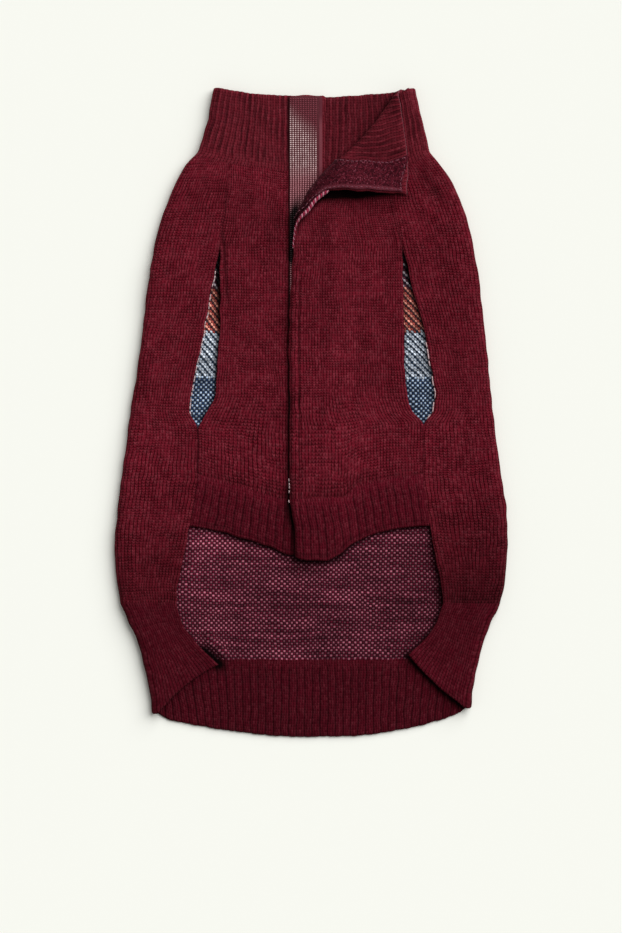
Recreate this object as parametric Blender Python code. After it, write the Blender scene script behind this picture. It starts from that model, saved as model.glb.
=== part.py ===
"""A knitted dog sweater, opened a little at the neck and laid flat on its back.

Frame: +X across the garment, +Y from the hem to the neck, +Z up from the surface it lies on.
Tables and sizes are in millimetres. Every piece is a closed wall of cloth, made from rows of
points on its middle surface. A row runs round the body and the rows follow each other from the
neck to the hem, so that a wall's outer side is always the garment's right side.
"""

import bpy
import numpy as np

MM = 0.001

# ---- driving sizes ------------------------------------------------------------------------
CLOTH = 2.0  # thickness of the knitted wall
GAP = 0.3  # space left between two pieces, and between two layers
TAPE = 1.0  # thickness of a hook or loop tape
TAPE_WIDTH = 17.5  # width of the loop tape
TAPE_INSET = 3.6  # from the right front's free edge to the loop tape
TAPE_TOP_Y, TAPE_END_Y = 196.6, -53.0  # the hook tape's two ends
SIDE_RADIUS = 2.7  # middle radius of the folds along both sides
ROLL_RADIUS = 2.6  # middle radius of the turned-back corner's roll
SIDE_RAMP = 26.0  # how far from a side fold the upper layer starts to rise
FLAP_DROP, FLAP_LENGTH = 1.6, 40.0  # how far the turned-back corner sinks over its length
FLAP_ARCH = 2.5  # how high the corner's free edge arches up
FLAP_ARCH_Y, FLAP_ARCH_REACH = 149.0, 9.0  # middle and half width of the arch, along the roll
FLAP_ARCH_RISE = 15.0  # distance from the roll at which the arch has its full height
FINE_RIB = 0.5  # height of the collar's ribs
BROAD_RIB = 0.6  # height of the ribs on the hem and on the belly bands
BROAD_PITCH = 5.2  # from one rib to the next on the hem and on the belly bands

NECK_Y = 159.5  # the neck seam at the side folds
BELLY_RIB_Y = -39.0  # top of the belly bands at the side seams
BELLY_HEM_Y = -71.5  # bottom of the belly bands at the side seams
HEM_RIB_Y = -119.5  # top of the hem band at the side folds
HEM_CORNER_Y = (-188.5, -183.5)  # the hem band's folded corners, left and right
SEAM_END_X = 77.0  # right end of the neck seam
UNDERLAP_X = 8.8  # free edge of the left front, hidden under the right front
HOOK_START_X, HOOK_END_X = 5.6, -13.8  # the hook tape's two edges
HEM_RISE_Y, HEM_RISE_REACH = -60.0, 50.0  # where the wraps start to rise to the hem's height
NECK_REACH, BELLY_REACH, HEM_REACH = 50.0, 45.0, 150.0  # how far each seam bends the rows

LAYER = CLOTH + GAP
BACK_Z = CLOTH / 2
FRONT_Z = BACK_Z + LAYER
SIDE_TOP_Z = BACK_Z + 2 * SIDE_RADIUS
PLACKET_Z = FRONT_Z + LAYER + 2 * (TAPE + GAP)
HEM_FRONT_Z = FRONT_Z + BROAD_RIB + GAP

# y: section across the body; side: outline; wrap: edge of the back panel where it comes round
# to the belly; belly: outer edge of the belly front. Wrap and belly meet in a seam except
# beside the leg holes and below the belly band.
#    y      side_l  wrap_l  belly_l belly_r wrap_r side_r
SECTIONS = (
    (159.5, -75.5, -50.0, -50.0, 49.5, 49.5, 77.0),
    (145.0, -84.5, -51.0, -51.0, 50.5, 50.5, 87.5),
    (130.5, -90.5, -53.0, -53.0, 51.5, 51.5, 94.0),
    (117.0, -95.0, -54.5, -54.5, 54.0, 54.0, 99.0),
    (104.0, -98.0, -57.0, -57.0, 56.5, 56.5, 101.5),
    (94.0, -100.0, -59.0, -57.0, 57.0, 59.5, 103.5),
    (79.5, -102.0, -62.0, -57.0, 57.5, 64.0, 105.5),
    (65.0, -104.0, -64.5, -57.0, 58.0, 67.5, 107.0),
    (50.5, -106.0, -67.5, -57.5, 58.5, 71.0, 108.5),
    (36.0, -108.0, -70.0, -58.5, 58.5, 73.5, 109.5),
    (22.0, -109.5, -73.0, -59.0, 59.0, 76.0, 111.0),
    (11.0, -111.5, -75.0, -59.5, 60.5, 78.0, 112.5),
    (1.0, -113.0, -76.5, -64.5, 64.0, 77.0, 113.5),
    (-7.5, -114.5, -72.5, -69.0, 70.5, 71.0, 114.5),
    (-24.0, -116.5, -70.5, -70.5, 70.5, 70.5, 116.5),
    (-39.0, -119.0, -70.5, -70.5, 70.5, 70.5, 119.0),
    (-55.0, -121.0, -73.0, -73.0, 72.5, 72.5, 121.0),
    (-69.0, -122.2, -75.5, -75.5, 74.5, 74.5, 122.2),
    (-83.0, -123.0, -78.0, -78.0, 77.0, 77.0, 123.0),
    (-99.0, -123.0, -81.5, -81.5, 80.0, 80.0, 122.2),
    (-111.0, -121.2, -84.0, -84.0, 82.0, 82.0, 120.2),
    (-119.5, -119.0, -84.5, -84.5, 82.5, 82.5, 118.0),
)
SIDE_L, _, BELLY_L, BELLY_R, _, SIDE_R = range(1, 7)

#    y      side_l side_r
COLLAR_SIDES = (
    (202.5, -61.0, 65.0),
    (194.0, -63.0, 66.5),
    (184.5, -65.0, 69.0),
    (175.5, -68.0, 71.0),
    (167.0, -71.0, 73.0),
    (159.5, -75.5, 77.0),
)

#    y       side_l  side_r
HEM_SIDES = (
    (-119.5, -119.0, 118.0),
    (-130.0, -115.5, 113.0),
    (-142.5, -110.5, 108.0),
    (-155.0, -107.0, 105.0),
    (-167.5, -104.0, 102.5),
    (-180.0, -101.5, 100.8),
    (-188.5, -99.5, 100.5),
)

# Edges that run across the garment: x, y
NECK_SEAM = ((-76.0, 159.5), (-72.5, 159.5), (-53.0, 156.5), (-38.0, 154.5), (-14.0, 151.0),
             (14.5, 150.5), (43.0, 152.5), (61.0, 155.5), (74.0, 159.5), (77.5, 159.5))
COLLAR_TOP_LEFT = ((-61.0, 202.5), (-48.0, 199.5), (-33.5, 198.0), (-17.5, 197.2), (9.0, 197.4))
COLLAR_TOP_RIGHT = ((-5.4, 201.8), (4.5, 200.6), (12.0, 198.4), (21.0, 197.2), (36.0, 198.2),
                    (52.0, 199.8), (65.0, 202.5))
COLLAR_TOP_BACK = ((-61.0, 202.5), (-40.0, 196.5), (8.0, 195.8), (35.0, 197.2), (50.0, 199.0),
                   (65.0, 202.5))
BELLY_RIB_TOP = ((-71.0, -39.0), (-40.0, -47.5), (-14.5, -54.0), (19.5, -54.0), (30.5, -45.5),
                 (71.0, -39.0))
BELLY_HEM_LEFT = ((-75.5, -71.5), (-59.5, -74.5), (-42.5, -79.5), (-25.5, -84.5), (-14.5, -89.0),
                  (9.0, -90.5))
BELLY_HEM_RIGHT = ((-10.5, -90.5), (-5.5, -92.0), (8.0, -92.5), (15.0, -90.5), (22.5, -84.5),
                   (30.5, -80.0), (42.0, -75.5), (59.0, -72.5), (75.0, -71.5))
BACK_HEM_SEAM = ((-119.0, -119.5), (-111.0, -121.0), (-98.0, -137.0), (-84.0, -150.0),
                 (-66.0, -154.7), (-40.0, -155.0), (40.0, -155.0), (65.0, -154.7),
                 (83.0, -150.0), (97.0, -137.0), (110.0, -121.0), (118.0, -119.5))
HEM_EDGE = ((-99.5, -188.5), (-79.5, -193.0), (-53.0, -198.0), (-27.0, -201.0), (-0.5, -202.0),
            (25.5, -201.5), (52.0, -198.5), (78.0, -192.5), (100.5, -183.5))

# Where the hem band comes over to the front, its inner edge. share: way down the band
#    share  left_x  left_y  right_x right_y
HEM_INNER = (
    (0.0, -84.5, -119.5, 82.5, -119.5),
    (0.2, -82.5, -129.0, 80.0, -126.5),
    (0.45, -77.0, -138.5, 75.5, -136.0),
    (0.75, -67.5, -149.0, 67.5, -145.5),
    (1.0, -57.5, -158.0, 60.0, -152.0),
)
HEM_BOW = (4.0, -2.0)  # how far the band's folded edge bows up on the left and on the right

# The line where the right front and its collar leave the surface to roll back: x, y
ROLL_LINE = ((58.5, 200.0), (47.8, 185.2), (38.4, 173.6), (28.0, 163.0), (18.0, 153.0),
             (11.5, 146.3), (4.6, 138.0), (-2.6, 128.0), (-7.6, 118.5), (-10.8, 107.0),
             (-13.6, 94.0), (-16.5, 78.0))

# Free edge of the right front before it is turned back: y, x
PLACKET_EDGE = ((201.0, -5.4), (151.0, -5.4), (145.0, -6.2), (136.0, -8.4), (128.0, -11.0),
                (118.0, -12.6), (105.0, -13.0), (-54.0, -13.5), (-64.0, -11.5), (-75.0, -10.2),
                (-92.0, -10.0))
COLLAR_EDGE_X = PLACKET_EDGE[0][1]


# ---- reading the tables -------------------------------------------------------------------
def read(table, at, column=1):
    """One column of a table at `at`, along a smooth curve that doesn't overshoot its rows."""
    rows = sorted(table)
    keys = np.array([row[0] for row in rows])
    values = np.array([row[column] for row in rows])
    step = np.diff(keys)
    rise = np.diff(values) / step
    before, after = rise[:-1], rise[1:]
    same_way = before * after > 0
    middle = np.zeros(len(before))
    middle[same_way] = (2 * before * after)[same_way] / (before + after)[same_way]
    slope = np.concatenate(([rise[0]], middle, [rise[-1]]))
    at = np.clip(np.asarray(at, float), keys[0], keys[-1])
    i = np.clip(np.searchsorted(keys, at) - 1, 0, len(step) - 1)
    t = (at - keys[i]) / step[i]
    return (
        values[i] * (1 + 2 * t) * (1 - t) ** 2
        + slope[i] * step[i] * t * (1 - t) ** 2
        + values[i + 1] * t * t * (3 - 2 * t)
        + slope[i + 1] * step[i] * t * t * (t - 1)
    )


def chords(edge, xs):
    """The curve `edge` as straight stretches between xs, as a panel's lower edge has it."""
    xs = np.sort(xs)
    return lambda x: np.interp(x, xs, read(edge, xs))


def seam_x(y, column):
    """x of an edge of the sections at y, straight from row to row."""
    rows = sorted(SECTIONS)
    return float(np.interp(y, [row[0] for row in rows], [row[column] for row in rows]))


def ease(t):
    t = np.clip(t, 0.0, 1.0)
    return t * t * (3 - 2 * t)


def spread(start, end, count):
    """`count` steps from start to end, without the end itself."""
    return np.linspace(start, end, count, endpoint=False)


# ---- one layer of cloth -------------------------------------------------------------------
def placket_lift(x):
    """Height of the right front: on the back panel, and over the left front and both tapes."""
    return FRONT_Z + (PLACKET_Z - FRONT_Z) * ease((32.0 - x) / 20.0)


def side_lift(x, side_x, low):
    """Height of an upper layer that rises towards the side fold at side_x."""
    inward = np.abs(side_x) - SIDE_RADIUS - np.abs(x)
    return low + (SIDE_TOP_Z - low) * ease(1 - inward / SIDE_RAMP)


def bent(x, y, edge, edge_y, reach):
    """y moved so that the row at edge_y follows the curve `edge`, dying away over `reach`."""
    return y + (read(edge, x) - edge_y) * np.clip(1 - np.abs(y - edge_y) / reach, 0, 1)


def front_y(x, y):
    """y of a row of a belly front, bent to the neck seam above and to its band below."""
    at_y = bent(x, y, NECK_SEAM, NECK_Y, NECK_REACH)
    return float(bent(x, at_y, BELLY_RIB_TOP, BELLY_RIB_Y, BELLY_REACH)) - GAP / 2


def side_fold(side_x, y, steps):
    """Half a turn round a side fold, from the upper layer down to the lower one."""
    towards = np.sign(side_x)
    centre_x = side_x - towards * SIDE_RADIUS
    centre_z = BACK_Z + SIDE_RADIUS
    angles = np.linspace(0.0, np.pi, steps + 1)[:-1]
    return [(centre_x + towards * SIDE_RADIUS * np.sin(a), y, centre_z + SIDE_RADIUS * np.cos(a))
            for a in angles]


def roll_curve():
    """The roll line as closely spaced points, with the unit vector away from the cloth."""
    rows = sorted(ROLL_LINE)
    x = np.linspace(rows[0][0], rows[-1][0], 400)
    points = np.stack((x, read(ROLL_LINE, x)), axis=1)
    along = np.gradient(points, axis=0)
    along /= np.linalg.norm(along, axis=1)[:, None]
    return points, np.stack((-along[:, 1], along[:, 0]), axis=1)


ROLL_POINTS, ROLL_AWAY = roll_curve()


def beyond_roll(x, y):
    """How far a point of the flat right front lies past the roll line, and the way across it."""
    offset = np.array((x, y)) - ROLL_POINTS
    nearest = int(np.argmin((offset**2).sum(axis=1)))
    away = ROLL_AWAY[nearest]
    return float(offset[nearest] @ away), away


def turned_back(x, y):
    """A point of the right front as it lies: flat, on the roll, or on the turned-back corner."""
    beyond, away = beyond_roll(x, y)
    if beyond <= 0:
        return np.array((x, y, float(placket_lift(x))))
    foot = np.array((x, y)) - away * beyond
    turn = min(beyond / ROLL_RADIUS, np.pi)
    tail = max(0.0, beyond - np.pi * ROLL_RADIUS)
    plan = foot + away * (ROLL_RADIUS * np.sin(turn) - tail)
    height = placket_lift(foot[0]) + ROLL_RADIUS * (1 - np.cos(turn))
    along_arch = (foot[1] - FLAP_ARCH_Y) / FLAP_ARCH_REACH
    height += FLAP_ARCH * np.exp(-(along_arch**2)) * ease(tail / FLAP_ARCH_RISE)
    height -= FLAP_DROP * ease(tail / FLAP_LENGTH)
    return np.array((plan[0], plan[1], float(height)))


def right_side(x, y, step=0.6):
    """Unit vector to the right side of the cloth of the right front, as it lies."""
    across = turned_back(x - step, y) - turned_back(x + step, y)
    down = turned_back(x, y - step) - turned_back(x, y + step)
    normal = np.cross(across, down)
    return normal / np.linalg.norm(normal)


# ---- closed walls -------------------------------------------------------------------------
SHARP_ANGLE = np.radians(50)


def outward(middle):
    """Unit vectors to the right side of the cloth at each point of its middle surface."""
    round_body = np.gradient(middle, axis=1)
    to_hem = np.gradient(middle, axis=0)
    normal = np.cross(round_body, to_hem)
    normal[(0, -1), :, 1] = 0.0
    return normal / np.linalg.norm(normal, axis=2)[:, :, None]


def wall(name, material, middle, normal, thickness=CLOTH, shift=0.0, ribs=0.0):
    """A closed solid round `middle`, moved out by `shift`, with `ribs` on the side that faces up."""
    raised = np.asarray(ribs) * np.ones(middle.shape[:2])
    out = thickness / 2 + raised * np.clip(normal[:, :, 2], 0, 1) + shift
    back = thickness / 2 + raised * np.clip(-normal[:, :, 2], 0, 1) - shift
    outer = middle + normal * out[:, :, None]
    inner = middle - normal * back[:, :, None]
    rows, columns = middle.shape[:2]
    points = np.concatenate((outer.reshape(-1, 3), inner.reshape(-1, 3))) * MM
    behind = rows * columns

    def at(row, column):
        return row * columns + column

    faces = []
    for r in range(rows - 1):
        for c in range(columns - 1):
            corner, across = at(r, c), at(r + 1, c + 1)
            for half in ((across, at(r + 1, c), corner), (at(r, c + 1), across, corner)):
                faces.append(half)
                faces.append(tuple(i + behind for i in reversed(half)))
    rim = [at(0, c) for c in range(columns)]
    rim += [at(r, columns - 1) for r in range(1, rows)]
    rim += [at(rows - 1, c) for c in range(columns - 2, -1, -1)]
    rim += [at(r, 0) for r in range(rows - 2, 0, -1)]
    for a, b in zip(rim, rim[1:] + rim[:1]):
        faces.append((b, a, a + behind, b + behind))
    mesh = bpy.data.meshes.new(name)
    mesh.from_pydata([tuple(p) for p in points], [], faces)
    mesh.materials.append(material)
    mesh.shade_smooth()
    mesh.set_sharp_from_angle(angle=SHARP_ANGLE)
    piece = bpy.data.objects.new(name, mesh)
    bpy.context.scene.collection.objects.link(piece)
    return piece


def ridges(columns, height):
    """Ribs that run from neck to hem: every second column is raised."""
    return height * (np.arange(columns) % 2)


def material(name, colour, roughness):
    made = bpy.data.materials.new(name)
    made.use_nodes = True
    shader = made.node_tree.nodes["Principled BSDF"]
    shader.inputs["Base Color"].default_value = (*colour, 1.0)
    shader.inputs["Roughness"].default_value = roughness
    shader.inputs["Metallic"].default_value = 0.0
    return made


# ---- the pieces ---------------------------------------------------------------------------
BACK_STEPS = 20  # columns of the lower layer between the side folds
WRAP_STEPS, WRAP_FOLD_STEPS = 7, 5  # columns of a wrap, and round the side fold beside it
HEM_TOP_STEPS, HEM_FOLD_STEPS, HEM_ROWS = 14, 4, 6
BAND_ROWS = 4
COLLAR_FOLD_STEPS = 4
COLLAR_LEFT_STEPS, COLLAR_RIGHT_STEPS = 38, 22
BEND_X, BEND_STEPS = 34.0, 10  # the right front's columns lie close together from here on
BACK_SHOWN = (0.54, 0.92)  # share of the collar's back that the opening shows
BACK_COLLAR_STEPS = (8, 26, 2)  # columns before, in and after that share
FRONT_STEPS = 12  # columns of the left front
SIDE_STEPS, NEAR_STEPS = 3, 5  # columns of the right front, before and after BEND_X
TAPE_STEPS = 8  # columns across the loop tape
HOOK_ROWS = 14
ROLL_ROWS, ROLL_ROWS_END_Y = 20, 92.0  # rows of the right front where it rolls back
ROLL_STEPS = 4  # rows of the collar across its roll
ROLL_SPAN = 0.27  # share of the collar's height that the roll takes up
ROLL_START = (0.07, 0.62)  # first and last share of the height at which the roll can start
ROLL_TRIES = 60
ROLL_MARGIN = 6.0  # distance before the roll from which normals follow it
ROLL_END_X = 56.0
TAPE_START = 0.4  # the loop tape starts this far down the collar's first row of faces


def back_columns(side_l, side_r):
    """x of the lower layer's columns, from the left side fold to the right one."""
    return np.linspace(side_l + SIDE_RADIUS, side_r - SIDE_RADIUS, BACK_STEPS + 1)


def wrap_row(xs, y, side_x, low):
    """Points of one row of a wrap."""
    return [(x, bent(x, y, NECK_SEAM, NECK_Y, NECK_REACH), side_lift(x, side_x, low)) for x in xs]


def back_panel(knit):
    """One knitted panel: the back, and a wrap on each side that comes round to the belly."""
    rows = []
    for y, side_l, wrap_l, _, _, wrap_r, side_r in SECTIONS:
        low = FRONT_Z + (HEM_FRONT_Z - FRONT_Z) * float(ease((HEM_RISE_Y - y) / HEM_RISE_REACH))
        left = spread(wrap_l, side_l + SIDE_RADIUS, WRAP_STEPS)
        right = np.linspace(side_r - SIDE_RADIUS, wrap_r, WRAP_STEPS + 1)[1:]
        row = wrap_row(left, y, side_l, low) + side_fold(side_l, y, WRAP_FOLD_STEPS)
        for x in back_columns(side_l, side_r):
            at_y = bent(x, y, NECK_SEAM, NECK_Y, NECK_REACH)
            row.append((x, bent(x, at_y, BACK_HEM_SEAM, HEM_RIB_Y, HEM_REACH), BACK_Z))
        row += side_fold(side_r, y, WRAP_FOLD_STEPS)[::-1] + wrap_row(right, y, side_r, low)
        rows.append(row)
    middle = np.array(rows, float)
    middle[:, :, 1] -= GAP / 2
    wall("back_panel", knit, middle, outward(middle))


def hem_corner(side, share, steps):
    """The hem band's upper layer on one side, from its inner edge to the side fold."""
    inner_x = float(read(HEM_INNER, share, 1 + 2 * side))
    inner_y = float(read(HEM_INNER, share, 2 + 2 * side))
    side_y = HEM_RIB_Y + (HEM_CORNER_Y[side] - HEM_RIB_Y) * share
    side_x = float(read(HEM_SIDES, side_y, 1 + side))
    fold_x = side_x - np.sign(side_x) * SIDE_RADIUS
    points = []
    for s in spread(0.0, 1.0, steps):
        x = inner_x + (fold_x - inner_x) * s
        bow = HEM_BOW[side] * share * 4 * s * (1 - s)
        y = inner_y + (side_y - inner_y) * s + bow
        points.append((x, y, float(side_lift(x, side_x, HEM_FRONT_Z))))
    return points, side_x, side_y


def hem_rib(rib):
    """The ribbed band round the back panel's lower edge, folded over at both corners."""
    back_steps = 2 * round((HEM_SIDES[-1][2] - HEM_SIDES[-1][1]) / BROAD_PITCH)
    side_l, side_r = SECTIONS[-1][SIDE_L], SECTIONS[-1][SIDE_R]
    seam = chords(BACK_HEM_SEAM, back_columns(side_l, side_r))
    rows = []
    for share in np.linspace(0.0, 1.0, HEM_ROWS):
        left, left_x, left_y = hem_corner(0, share, HEM_TOP_STEPS)
        right, right_x, right_y = hem_corner(1, share, HEM_TOP_STEPS)
        row = left + side_fold(left_x, left_y, HEM_FOLD_STEPS)
        for s in np.linspace(0.0, 1.0, back_steps + 1):
            x = left_x + SIDE_RADIUS + s * (right_x - left_x - 2 * SIDE_RADIUS)
            top_x = side_l + SIDE_RADIUS + s * (side_r - side_l - 2 * SIDE_RADIUS)
            edge_x = HEM_EDGE[0][0] + s * (HEM_EDGE[-1][0] - HEM_EDGE[0][0])
            seam_y, edge_y = float(seam(top_x)), float(read(HEM_EDGE, edge_x))
            row.append((x, seam_y + (edge_y - seam_y) * share, BACK_Z))
        row += side_fold(right_x, right_y, HEM_FOLD_STEPS)[::-1] + right[::-1]
        rows.append(row)
    middle = np.array(rows, float)
    middle[:, :, 1] -= 2.5 * GAP
    wall("hem_rib", rib, middle, outward(middle), ribs=ridges(middle.shape[1], BROAD_RIB))


def collar_columns():
    """The collar's columns: which layer each is in, and how far along that layer it stands."""
    tape = tape_columns(COLLAR_EDGE_X)
    side_x = SEAM_END_X - SIDE_RADIUS
    right = (*spread(side_x, BEND_X, COLLAR_RIGHT_STEPS), *spread(BEND_X, tape[0], BEND_STEPS),
             *tape, COLLAR_EDGE_X)
    before, shown, after = BACK_COLLAR_STEPS
    columns = [("left", s) for s in spread(0.0, 1.0, COLLAR_LEFT_STEPS)]
    columns += [("left_fold", s) for s in range(COLLAR_FOLD_STEPS)]
    columns += [("back", s) for s in spread(0.0, BACK_SHOWN[0], before)]
    columns += [("back_shown", s) for s in spread(*BACK_SHOWN, shown)]
    columns += [("back", s) for s in spread(BACK_SHOWN[1], 1.0, after)]
    columns += [("right_fold", s) for s in (0, *range(COLLAR_FOLD_STEPS - 1, 0, -1))]
    columns += [("right", x) for x in right]
    return columns


def tape_columns(edge_x):
    """x of the loop tape's columns beside the right front's free edge."""
    return edge_x + TAPE_INSET + np.linspace(TAPE_WIDTH, 0.0, TAPE_STEPS + 1)


def collar_flat(place, share):
    """A point of the collar's right end before it is turned back, by its place on the seam."""
    side_y = COLLAR_SIDES[0][0] + (NECK_Y - COLLAR_SIDES[0][0]) * share
    side_x = float(read(COLLAR_SIDES, side_y, 2)) - SIDE_RADIUS
    tape_end = TAPE_INSET + TAPE_WIDTH
    from_edge = place - COLLAR_EDGE_X
    if from_edge > tape_end:
        full = SEAM_END_X - SIDE_RADIUS - COLLAR_EDGE_X
        squeeze = (side_x - COLLAR_EDGE_X - tape_end) / (full - tape_end)
        from_edge = tape_end + (from_edge - tape_end) * squeeze
    x = COLLAR_EDGE_X + from_edge
    top_y, seam_y = float(read(COLLAR_TOP_RIGHT, x)), float(read(NECK_SEAM, place)) + GAP
    return x, top_y + (seam_y - top_y) * share


def collar_shares(layer, place):
    """How far down its column each row of the collar stands; rows lie close on the roll."""
    start = ROLL_START[0]
    if layer == "right":
        tries = np.linspace(0.0, 1.0, ROLL_TRIES)
        past = [beyond_roll(*collar_flat(place, t))[0] - np.pi * ROLL_RADIUS for t in tries]
        if past[0] > 0:
            start = float(np.clip(tries[int(np.argmin(np.abs(past)))], *ROLL_START))
    end = start + ROLL_SPAN
    return (0.0, *np.linspace(start, end, ROLL_STEPS + 1), (end + 1.0) / 2, 1.0)


def collar_point(layer, place, share):
    """One point of the collar's middle surface."""
    side_y = COLLAR_SIDES[0][0] + (NECK_Y + GAP - COLLAR_SIDES[0][0]) * share
    left, right = float(read(COLLAR_SIDES, side_y, 1)), float(read(COLLAR_SIDES, side_y, 2))
    if layer == "left_fold":
        return side_fold(left, side_y, COLLAR_FOLD_STEPS)[place]
    if layer == "right_fold":
        bottom = (right - SIDE_RADIUS, side_y, BACK_Z)
        return bottom if place == 0 else side_fold(right, side_y, COLLAR_FOLD_STEPS)[place]
    if layer == "right":
        flat = collar_flat(place, share)
        x, y, z = turned_back(*flat)
        return x, y, z + float(side_lift(flat[0], right, FRONT_Z)) - FRONT_Z
    if layer == "left":
        x = UNDERLAP_X + (left + SIDE_RADIUS - UNDERLAP_X) * place
        edge, z = COLLAR_TOP_LEFT, float(side_lift(x, left, FRONT_Z))
    else:
        x = left + SIDE_RADIUS + (right - left - 2 * SIDE_RADIUS) * place
        edge, z = COLLAR_TOP_BACK, BACK_Z
    seam_y = float(read(NECK_SEAM, x)) + GAP
    return x, float(read(edge, x)) * (1 - share) + seam_y * share, z


def collar_cloth():
    """The collar's middle surface, its right side, and the height of its ribs."""
    columns = collar_columns()
    shares = [collar_shares(layer, place) for layer, place in columns]
    middle = np.array([[collar_point(layer, place, at) for at in rows]
                       for (layer, place), rows in zip(columns, shares)]).transpose(1, 0, 2)
    normal = outward(middle)
    ribs = np.tile(ridges(len(columns), FINE_RIB), (middle.shape[0], 1))
    tape_start = COLLAR_EDGE_X + TAPE_INSET + TAPE_WIDTH
    for c, (layer, place) in enumerate(columns):
        under_hooks = layer == "left" and middle[0, c, 0] > HOOK_END_X - 1.0
        under_loops = layer == "right" and place <= tape_start + 0.5
        if under_hooks or under_loops or layer in ("left_fold", "right_fold", "back"):
            ribs[:, c] = 0.0
        if layer != "right":
            continue
        for r, share in enumerate(shares[c]):
            flat = collar_flat(place, share)
            if beyond_roll(*flat)[0] > -ROLL_MARGIN and flat[0] < ROLL_END_X:
                normal[r, c] = right_side(*flat)
    return middle, normal, ribs


def front_rows(x_of_row, ys):
    """Rows of a flat belly front as (x, y), bent to its seams."""
    return [[(x, front_y(x, y)) for x in x_of_row(y)] for y in ys]


def belly_left(knit):
    """The left belly front, from the neck seam to its ribbed band; it runs under the right one."""
    ys = [row[0] for row in SECTIONS if row[0] >= BELLY_RIB_Y]
    rows = front_rows(left_columns, ys)
    middle = np.array([[(x, y, FRONT_Z) for x, y in row] for row in rows])
    wall("belly_left", knit, middle, outward(middle))


def left_columns(y):
    """x of the left front's columns at y, from its free edge to its side seam."""
    return np.linspace(UNDERLAP_X, seam_x(y, BELLY_L) + GAP, FRONT_STEPS)


def right_columns(y):
    """x of the right front's columns at y; the last ones follow the loop tape and free edge."""
    edge_x = float(read(PLACKET_EDGE, front_y(0.0, y)))
    tape = tape_columns(edge_x)
    side_x = seam_x(y, BELLY_R) - GAP
    return (*spread(side_x, BEND_X, SIDE_STEPS), *spread(BEND_X, tape[0], NEAR_STEPS),
            *tape, edge_x)


def belly_right_cloth():
    """The right belly front's middle surface and its right side."""
    ys = (*np.linspace(NECK_Y, ROLL_ROWS_END_Y, ROLL_ROWS),
          *[row[0] for row in SECTIONS if BELLY_RIB_Y <= row[0] < ROLL_ROWS_END_Y - 2.0])
    rows = front_rows(right_columns, ys)
    middle = np.array([[turned_back(x, y) for x, y in row] for row in rows])
    normal = np.array([[right_side(x, y) for x, y in row] for row in rows])
    return middle, normal


def belly_band(name, rib, top_columns, ends, hem, height):
    """A ribbed band under one belly front; `ends` gives x of both its ends by share and y."""
    top = chords(BELLY_RIB_TOP, top_columns)
    steps = 2 * round(abs(top_columns[0] - top_columns[-1]) / BROAD_PITCH)
    rows = []
    for share in np.linspace(0.0, 1.0, BAND_ROWS):
        side_y = BELLY_RIB_Y + (BELLY_HEM_Y - BELLY_RIB_Y) * share
        xs = np.linspace(*ends(share, side_y), steps + 1)
        top_ys = top(np.linspace(top_columns[0], top_columns[-1], steps + 1))
        rows.append([(x, top_y + (float(read(hem, x)) - top_y) * share, float(height(x)))
                     for x, top_y in zip(xs, top_ys)])
    middle = np.array(rows, float)
    middle[:, :, 1] -= 2 * GAP
    wall(name, rib, middle, outward(middle), ribs=ridges(middle.shape[1], BROAD_RIB))


def left_band_ends(share, side_y):
    return UNDERLAP_X, seam_x(side_y, BELLY_L) + GAP


def right_band_ends(share, side_y):
    top_y, bottom_y = BELLY_RIB_TOP[2][1], BELLY_HEM_RIGHT[0][1]
    return seam_x(side_y, BELLY_R) - GAP, float(read(PLACKET_EDGE, top_y + (bottom_y - top_y) * share))


def hook_tape(tape):
    """The hook tape on the outer face of the left front and its collar."""
    xs = np.linspace(HOOK_START_X, HOOK_END_X, 3)
    ys = np.linspace(TAPE_TOP_Y, TAPE_END_Y, HOOK_ROWS)
    middle = np.array([[(x, y, FRONT_Z) for x in xs] for y in ys])
    wall("hook_tape", tape, middle, outward(middle), TAPE, shift=(CLOTH + TAPE) / 2 + GAP)


def loop_tape(tape, collar, front):
    """The loop tape on the inner face of the right front and its collar."""
    columns = slice(-TAPE_STEPS - 2, -1)
    (neck, neck_normal), (belly, belly_normal) = [
        (middle[:, columns], normal[:, columns]) for middle, normal in (collar, front)]
    top = neck[:1] + (neck[1:2] - neck[:1]) * TAPE_START
    middle = np.concatenate((top, neck[1:], belly[1:]))
    normal = np.concatenate((neck_normal, belly_normal[1:]))
    wall("loop_tape", tape, middle, normal, TAPE, shift=-(CLOTH + TAPE) / 2 - GAP)


def main():
    for old in list(bpy.data.objects):
        bpy.data.objects.remove(old, do_unlink=True)
    knit = material("burgundy_knit", (0.155, 0.016, 0.024), 0.9)
    rib = material("burgundy_rib", (0.125, 0.012, 0.020), 0.9)
    hooks = material("hook_nylon", (0.45, 0.28, 0.28), 0.5)
    loops = material("loop_nylon", (0.11, 0.014, 0.024), 0.95)
    back_panel(knit)
    hem_rib(rib)
    neck, neck_normal, neck_ribs = collar_cloth()
    wall("collar", rib, neck, neck_normal, ribs=neck_ribs)
    belly_left(knit)
    belly, belly_normal = belly_right_cloth()
    wall("belly_right", knit, belly, belly_normal)
    belly_band("belly_rib_left", rib, left_columns(BELLY_RIB_Y), left_band_ends, BELLY_HEM_LEFT,
               lambda x: FRONT_Z)
    belly_band("belly_rib_right", rib, right_columns(BELLY_RIB_Y), right_band_ends,
               BELLY_HEM_RIGHT, placket_lift)
    hook_tape(hooks)
    loop_tape(loops, (neck, neck_normal), (belly, belly_normal))


main()
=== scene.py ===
"""The looks of a knitted dog sweater that lies flat on its back, opened a little at the neck.

Frame: +X across the garment, +Y from the hem to the neck, +Z up from the floor. Shapes are worked
out in millimetres, from the same tables as the solids that they stand for, and made in metres.
A piece of cloth is a grid of points on the middle of the cloth. Its rows follow each other from the
neck to the hem and its columns run round the body, so its outer side is the right side of the knit.
"""

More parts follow.
